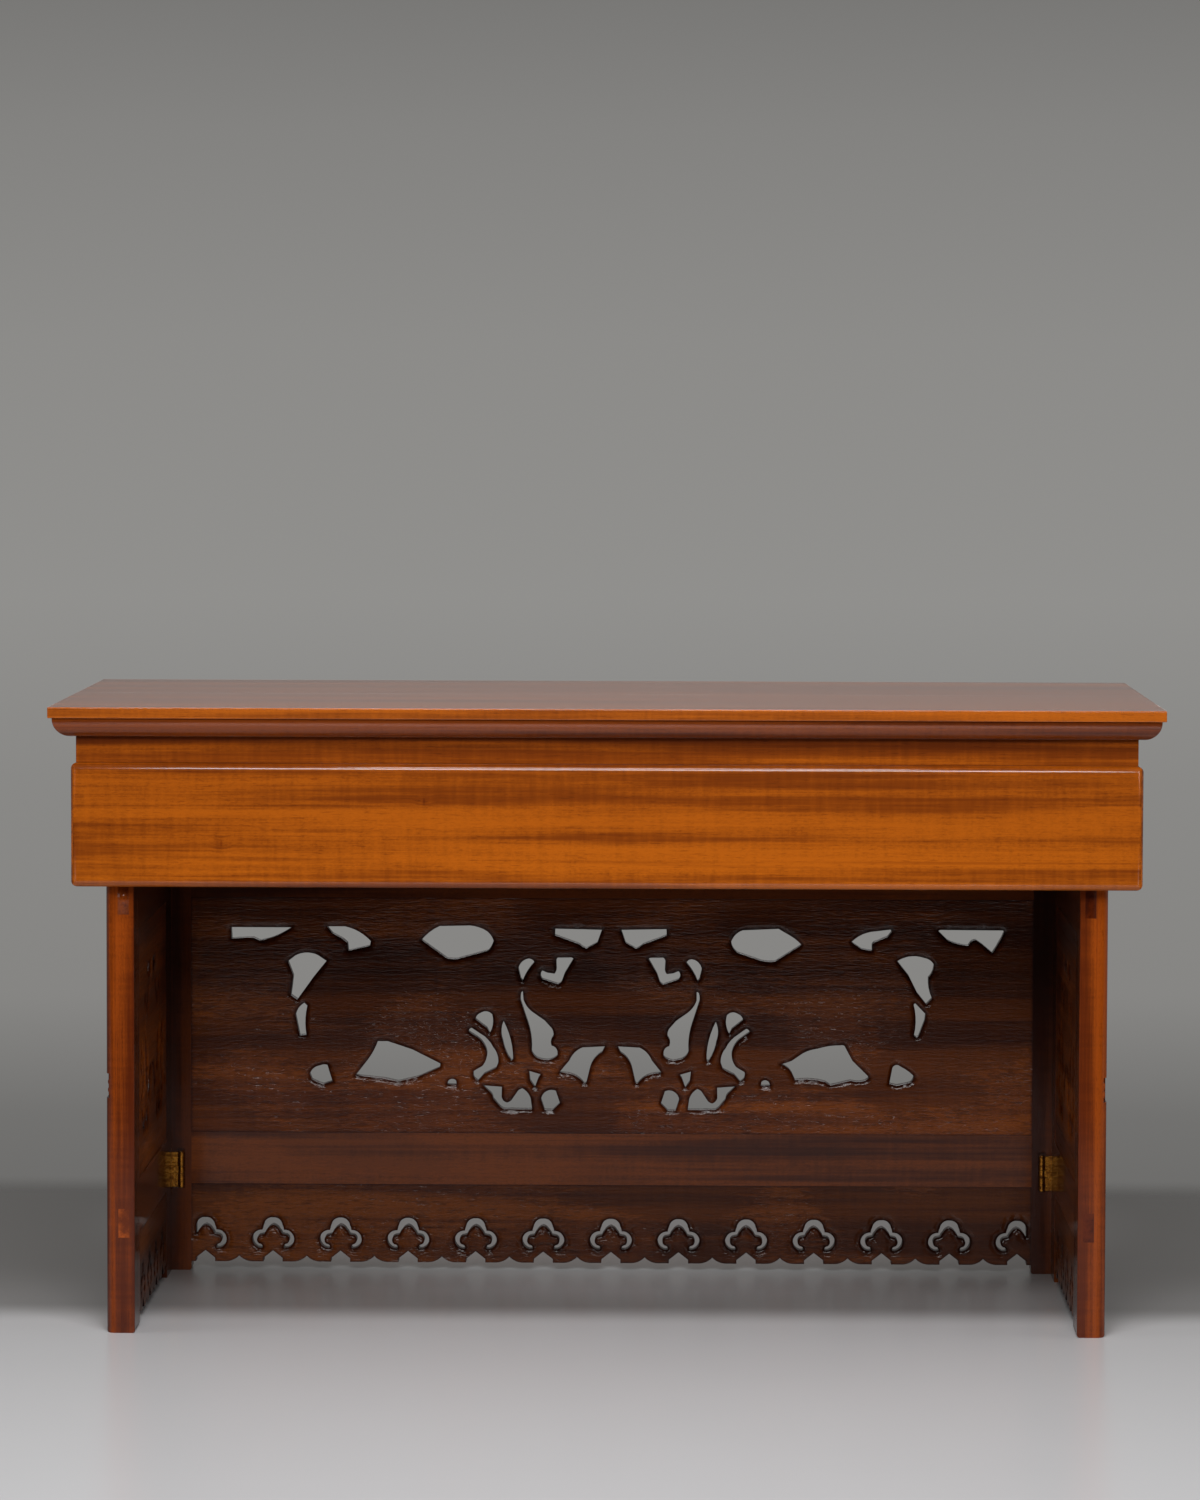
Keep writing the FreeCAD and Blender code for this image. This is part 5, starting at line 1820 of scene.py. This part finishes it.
FRONT_PLAN = ScrollPlan(
    tongue=7 * MM,
    blooms=((0.0, 0.014, 0.034), (0.142, 0.008, 0.037)),
    leaves=(
        (0.030, -0.006, 0.4, 0.060, 0.011, 0.5),
        (0.020, 0.034, 0.9, 0.045, 0.010, -0.5),
        (0.050, -0.045, 0.2, 0.070, 0.012, 0.4),
        (0.105, -0.060, 0.1, 0.070, 0.010, 0.5),
        (0.170, -0.020, -0.7, 0.050, 0.013, -0.4),
        (0.178, 0.022, 0.5, 0.050, 0.012, 0.5),
        (0.108, 0.035, 2.2, 0.040, 0.010, 0.4),
        (0.225, -0.050, 0.5, 0.045, 0.012, -0.5),
        (0.205, 0.010, 0.0, 0.050, 0.012, 0.5),
        (0.105, -0.015, 3.6, 0.040, 0.010, 0.4),
    ),
    scrolls=(
        (0.085, 0.052, 0.017, 0.5),
        (0.262, 0.040, 0.016, 1.0),
        (0.258, -0.030, 0.018, 2.0),
        (0.185, 0.058, 0.014, 3.0),
        (0.075, -0.062, 0.013, 1.5),
        (0.215, -0.062, 0.012, 0.5),
    ),
)
SIDE_PLAN = ScrollPlan(
    tongue=7 * MM,
    blooms=((0.0, 0.012, 0.034),),
    leaves=(
        (0.026, -0.012, 0.1, 0.050, 0.012, 0.5),
        (0.022, 0.032, 0.6, 0.045, 0.011, -0.5),
        (0.040, -0.045, 0.2, 0.045, 0.011, 0.4),
        (0.030, 0.010, 0.4, 0.055, 0.011, 0.3),
    ),
    scrolls=((0.078, 0.050, 0.015, 0.5), (0.078, -0.054, 0.014, 1.5)),
)


@dataclass
class Member:
    """One board of a panel's frame, with how dark its end grain is and how far it is darkened from foot to
    head, by painted shade on the near stiles.
    """

    node: str
    way: Way
    shade_and_stain: tuple[float, float] = (0.0, 0.0)
    end_shade: float = 1.0
    arris: float = 0.0
    worn: float = 0.0


@dataclass
class ScreenWoods:
    """The three finishes of the screen's woodwork."""

    frame: bpy.types.Material
    carved: bpy.types.Material
    clouds: bpy.types.Material


@dataclass
class Panel:
    """One panel of the screen: its frame, carved board and scalloped board."""

    body: str
    prefix: str
    inward: Triple
    way: Way
    members: tuple[Member, ...]
    plan: ScrollPlan
    rim: ChippedRim = field(default_factory=ChippedRim)
    carved_depth: float = 14 * MM
    scalloped_depth: float = 12 * MM
    scalloped_proud: float = 0.6 * MM
    scallop_spacing: float = 1.4 * MM

    def build(self, woods: ScreenWoods) -> None:
        """Builds the frame and its two boards.

        Args:
            woods: the screen's finishes.
        """
        for part in self.members:
            board = Board(part.node, self.body, "frame_wood", part.way, self.inward, part.arris)
            board.end_shade = part.end_shade
            board.shade_and_stain = part.shade_and_stain
            board.worn = part.worn
            board.build(woods.frame)
        self.carved_board().build(woods.carved)
        scalloped = self.scalloped_board()
        scalloped.build(woods.clouds)
        CloudRims(scalloped).build(woods.clouds)

    def carved_board(self) -> CarvedBoard:
        """The pierced board in the middle of the frame.

        Returns:
            The board, not yet built.
        """
        node = f"{self.prefix}_carved_panel"
        return CarvedBoard(
            node,
            self.body,
            "carved_wood",
            self.way,
            self.inward,
            thickness=self.carved_depth,
            outer_relief=self.plan.relief(node),
            inner_relief=self.rim,
        )

    def scalloped_board(self) -> CarvedBoard:
        """The board of clouds under the lower rail.

        Returns:
            The board, not yet built.
        """
        return CarvedBoard(
            f"{self.prefix}_scalloped_apron",
            self.body,
            "carved_wood",
            self.way,
            self.inward,
            thickness=self.scalloped_depth,
            proud=self.scalloped_proud,
            spacing=self.scallop_spacing,
            inner_relief=CloudRelief(),
        )


def front_panel() -> Panel:
    """The long panel that the camera sees from behind.

    Returns:
        The panel, not yet built.
    """
    members = (
        Member("front_stile_left", Way.UPRIGHT, (0.6, 0.8), arris=0.12 * MM),
        Member("front_stile_right", Way.UPRIGHT, (0.6, 0.8), arris=0.12 * MM),
        Member("front_top_rail", Way.ALONG),
        Member("front_lower_rail", Way.ALONG),
    )
    return Panel("front_panel", "front", (0.0, -1.0, 0.0), Way.ALONG, members, FRONT_PLAN)


def side_panel(side: Side) -> Panel:
    """One folding end panel; lacquer nearly hides the tenons' end grain on the left one.

    Args:
        side: which end.

    Returns:
        The panel.
    """
    name = side.name.lower()
    upper, lower = (0.35, 0.15) if side is Side.LEFT else (1.0, 1.0)
    # Painted shade down the near stiles, darker towards the foot
    shade_and_stain = (0.62, 0.22) if side is Side.LEFT else (0.50, 0.15)
    members = (
        Member(f"{name}_near_stile", Way.UPRIGHT, shade_and_stain, arris=0.35 * MM, worn=2.8 * MM),
        Member(f"{name}_far_stile", Way.UPRIGHT, (0.4, 0.7), arris=0.12 * MM),
        Member(f"{name}_top_rail", Way.ACROSS, (0.2, 0.2), upper),
        Member(f"{name}_lower_rail", Way.ACROSS, (0.0, 0.0), lower),
    )
    rim = ChippedRim(depth=1.7 * MM, width=4.5 * MM)
    return Panel(f"{name}_side", name, (-float(side.value), 0.0, 0.0), Way.ACROSS, members, SIDE_PLAN, rim)


@dataclass
class Hinges:
    """The brass butt hinges between the panels."""

    leaf_nodes: tuple[tuple[str, str], ...] = (
        ("front_hinge_leaves", "front_panel"),
        ("left_hinge_leaves", "left_side"),
        ("right_hinge_leaves", "right_side"),
    )
    pin_nodes: tuple[str, ...] = ("left_hinge_pins", "right_hinge_pins")
    screw_nodes: tuple[tuple[str, str, float], ...] = (
        ("front_hinge_screws", "front_panel", -1.0),
        ("left_hinge_screws", "left_side", 1.0),
        ("right_hinge_screws", "right_side", 1.0),
    )
    arris: float = 0.12 * MM

    def build(self) -> None:
        """Builds the leaves and screws, and finishes the pins."""
        brass = HINGE_BRASS.material()
        pin_brass = PIN_BRASS.material()
        for node, body in self.leaf_nodes:
            piece = softened(f"{node}_dressed", node, brass, self.arris)
            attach(piece, body)
            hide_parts(node)
            LOG.info("%s rides on %s", piece.name, body)
        for node, body, facing in self.screw_nodes:
            SlottedScrews(node, body, facing).build(pin_brass)
        for node in self.pin_nodes:
            frame["nodes"][node].data.materials.clear()
            frame["nodes"][node].data.materials.append(pin_brass)
            LOG.info("%s keeps its solid", node)


@dataclass
class SoftLight:
    """One soft rectangular light."""

    name: str
    place: Triple
    target: Triple
    size: tuple[float, float]
    power: float
    table_only: bool = False

    def build(self) -> None:
        """Hangs the light."""
        data = bpy.data.lights.new(self.name, "AREA")
        data.shape = "RECTANGLE"
        data.size, data.size_y = self.size
        data.energy = self.power
        light = bpy.data.objects.new(self.name, data)
        bpy.context.scene.collection.objects.link(light)
        light.location = self.place
        aim = Vector(self.target) - Vector(self.place)
        light.rotation_euler = aim.to_track_quat("-Z", "Y").to_euler()
        if self.table_only:
            self.keep_off_floor(light)

    def keep_off_floor(self, light: bpy.types.Object) -> None:
        """Lets the light reach everything but the floor.

        Args:
            light: the light.
        """
        group = bpy.data.collections.new(f"{self.name}_receivers")
        for piece in bpy.context.scene.objects:
            if piece.type == "MESH" and piece.name != "studio_floor":
                group.objects.link(piece)
        light.light_linking.receiver_collection = group


@dataclass
class Studio:
    """The floor, the lights, the backdrop and the camera.

    The backdrop's greys are pairs of a place, from its low end to its high end, and a brightness. A glow is
    the direction where it starts, the one where it is whole, and its share of the light.
    """

    camera_place: Triple = (0.050, -3.806, 0.601)
    camera_pitch: float = math.radians(3.57)
    camera_yaw: float = math.radians(0.85)
    camera_roll: float = 0.0028
    lens: float = 139.69
    sensor_width: float = 36.0
    seen_from: float = 0.05
    seen_until: float = 60.0
    floor_radius: float = 3.2
    floor_sides: int = 96
    backdrop_from: float = -0.30
    backdrop_until: float = 0.10
    backdrop_greys: tuple[tuple[float, float], ...] = (
        (0.0, 0.40),
        (0.30, 0.36),
        (0.38, 0.140),
        (0.44, 0.165),
        (0.49, 0.236),
        (0.58, 0.248),
        (0.66, 0.278),
        (0.77, 0.260),
        (0.86, 0.225),
        (0.94, 0.172),
        (1.0, 0.160),
    )
    backdrop_tone: Colour = (1.0, 0.985, 0.95)
    glow_behind: tuple[float, float, float] = (-0.45, 0.15, 0.95)
    glow_above: tuple[float, float, float] = (0.30, 0.85, 0.55)
    glow_everywhere: float = 0.06
    lights: tuple[SoftLight, ...] = (
        SoftLight("key_light", (0.0, -0.82, 1.06), (0.0, -0.1, 0.25), (0.46, 0.22), 4.6),
        SoftLight("front_light", (0.0, -2.7, 1.42), (0.0, 0.0, 0.15), (1.3, 0.8), 44.0),
        SoftLight("left_light", (-2.2, -0.5, 1.0), (0.0, 0.0, 0.25), (1.0, 1.5), 7.0),
        SoftLight("right_light", (2.2, -0.4, 1.0), (0.0, 0.0, 0.25), (1.0, 1.5), 3.2),
        SoftLight("back_light", (0.2, 2.1, 1.5), (0.0, 0.1, 0.2), (1.8, 1.0), 16.0, True),
    )

    def build(self) -> None:
        """Builds the whole studio."""
        self.build_camera()
        self.build_floor()
        self.build_backdrop()
        for light in self.lights:
            light.build()
            LOG.info("%s hangs", light.name)

    def build_camera(self) -> None:
        """Sets up the camera where the photograph was taken from."""
        data = bpy.data.cameras.new("camera")
        data.lens = self.lens
        data.sensor_width = self.sensor_width
        data.clip_start = self.seen_from
        data.clip_end = self.seen_until
        camera = bpy.data.objects.new("camera", data)
        bpy.context.scene.collection.objects.link(camera)
        yaw = Matrix.Rotation(self.camera_yaw, 4, "Z")
        pitch = Matrix.Rotation(math.pi / 2 - self.camera_pitch, 4, "X")
        roll = Matrix.Rotation(self.camera_roll, 4, "Z")
        camera.matrix_world = Matrix.Translation(self.camera_place) @ (yaw @ pitch @ roll)
        bpy.context.scene.camera = camera

    def build_floor(self) -> None:
        """Lays the round pale floor."""
        shape = bmesh.new()
        bmesh.ops.create_circle(shape, cap_ends=True, segments=self.floor_sides, radius=self.floor_radius)
        mesh = bpy.data.meshes.new("studio_floor")
        shape.to_mesh(mesh)
        shape.free()
        floor = finished("studio_floor", mesh, PaleFloor("pale_floor").material(self.floor_radius))

    def build_backdrop(self) -> None:
        """Fills the surroundings with a paper-grey that changes with height.

        Reflections and stray light from the camera's side are darker, because nothing is lit there.
        """
        world = bpy.data.worlds.new("grey_backdrop")
        bpy.context.scene.world = world
        world.use_nodes = True
        world.node_tree.nodes.clear()
        nodes = Nodes(world.node_tree)
        way = nodes.add("ShaderNodeTexCoord").outputs["Generated"]
        split = nodes.add("ShaderNodeSeparateXYZ", {0: way}).outputs
        inputs = {"Value": split["Z"], "From Min": self.backdrop_from, "From Max": self.backdrop_until}
        share = nodes.add("ShaderNodeMapRange", inputs)
        ramp = nodes.add("ShaderNodeValToRGB", {"Fac": share.outputs[0]})
        elements = ramp.color_ramp.elements
        while len(elements) < len(self.backdrop_greys):
            elements.new(0.5)
        for element, (place, grey) in zip(elements, self.backdrop_greys):
            element.position = place
            element.color = rgba(tuple(grey * tone for tone in self.backdrop_tone))
        behind = nodes.ramp(split["Y"], *self.glow_behind[:2])
        above = nodes.ramp(split["Z"], *self.glow_above[:2])
        shares = ((behind, self.glow_behind[2]), (above, self.glow_above[2]), (1.0, self.glow_everywhere))
        strength = nodes.total(*shares)
        camera_ray = nodes.add("ShaderNodeLightPath").outputs["Is Camera Ray"]
        strength = nodes.math("MAXIMUM", camera_ray, strength)
        background = nodes.add("ShaderNodeBackground", {"Color": ramp.outputs[0], "Strength": strength})
        nodes.add("ShaderNodeOutputWorld", {"Surface": background.outputs[0]})
        bpy.context.scene.view_settings.view_transform = "Standard"


def main() -> None:
    """Builds every sub-assembly in order, and then the studio round them."""
    logging.basicConfig(level=logging.INFO, format="%(name)s: %(message)s")
    Lid().build()
    woods = ScreenWoods(FRAME_LACQUER.material(), CARVED_LACQUER.material(), CLOUD_LACQUER.material())
    front_panel().build(woods)
    for side in Side:
        side_panel(side).build(woods)
    Hinges().build()
    Studio().build()


if __name__ == "__main__":
    main()
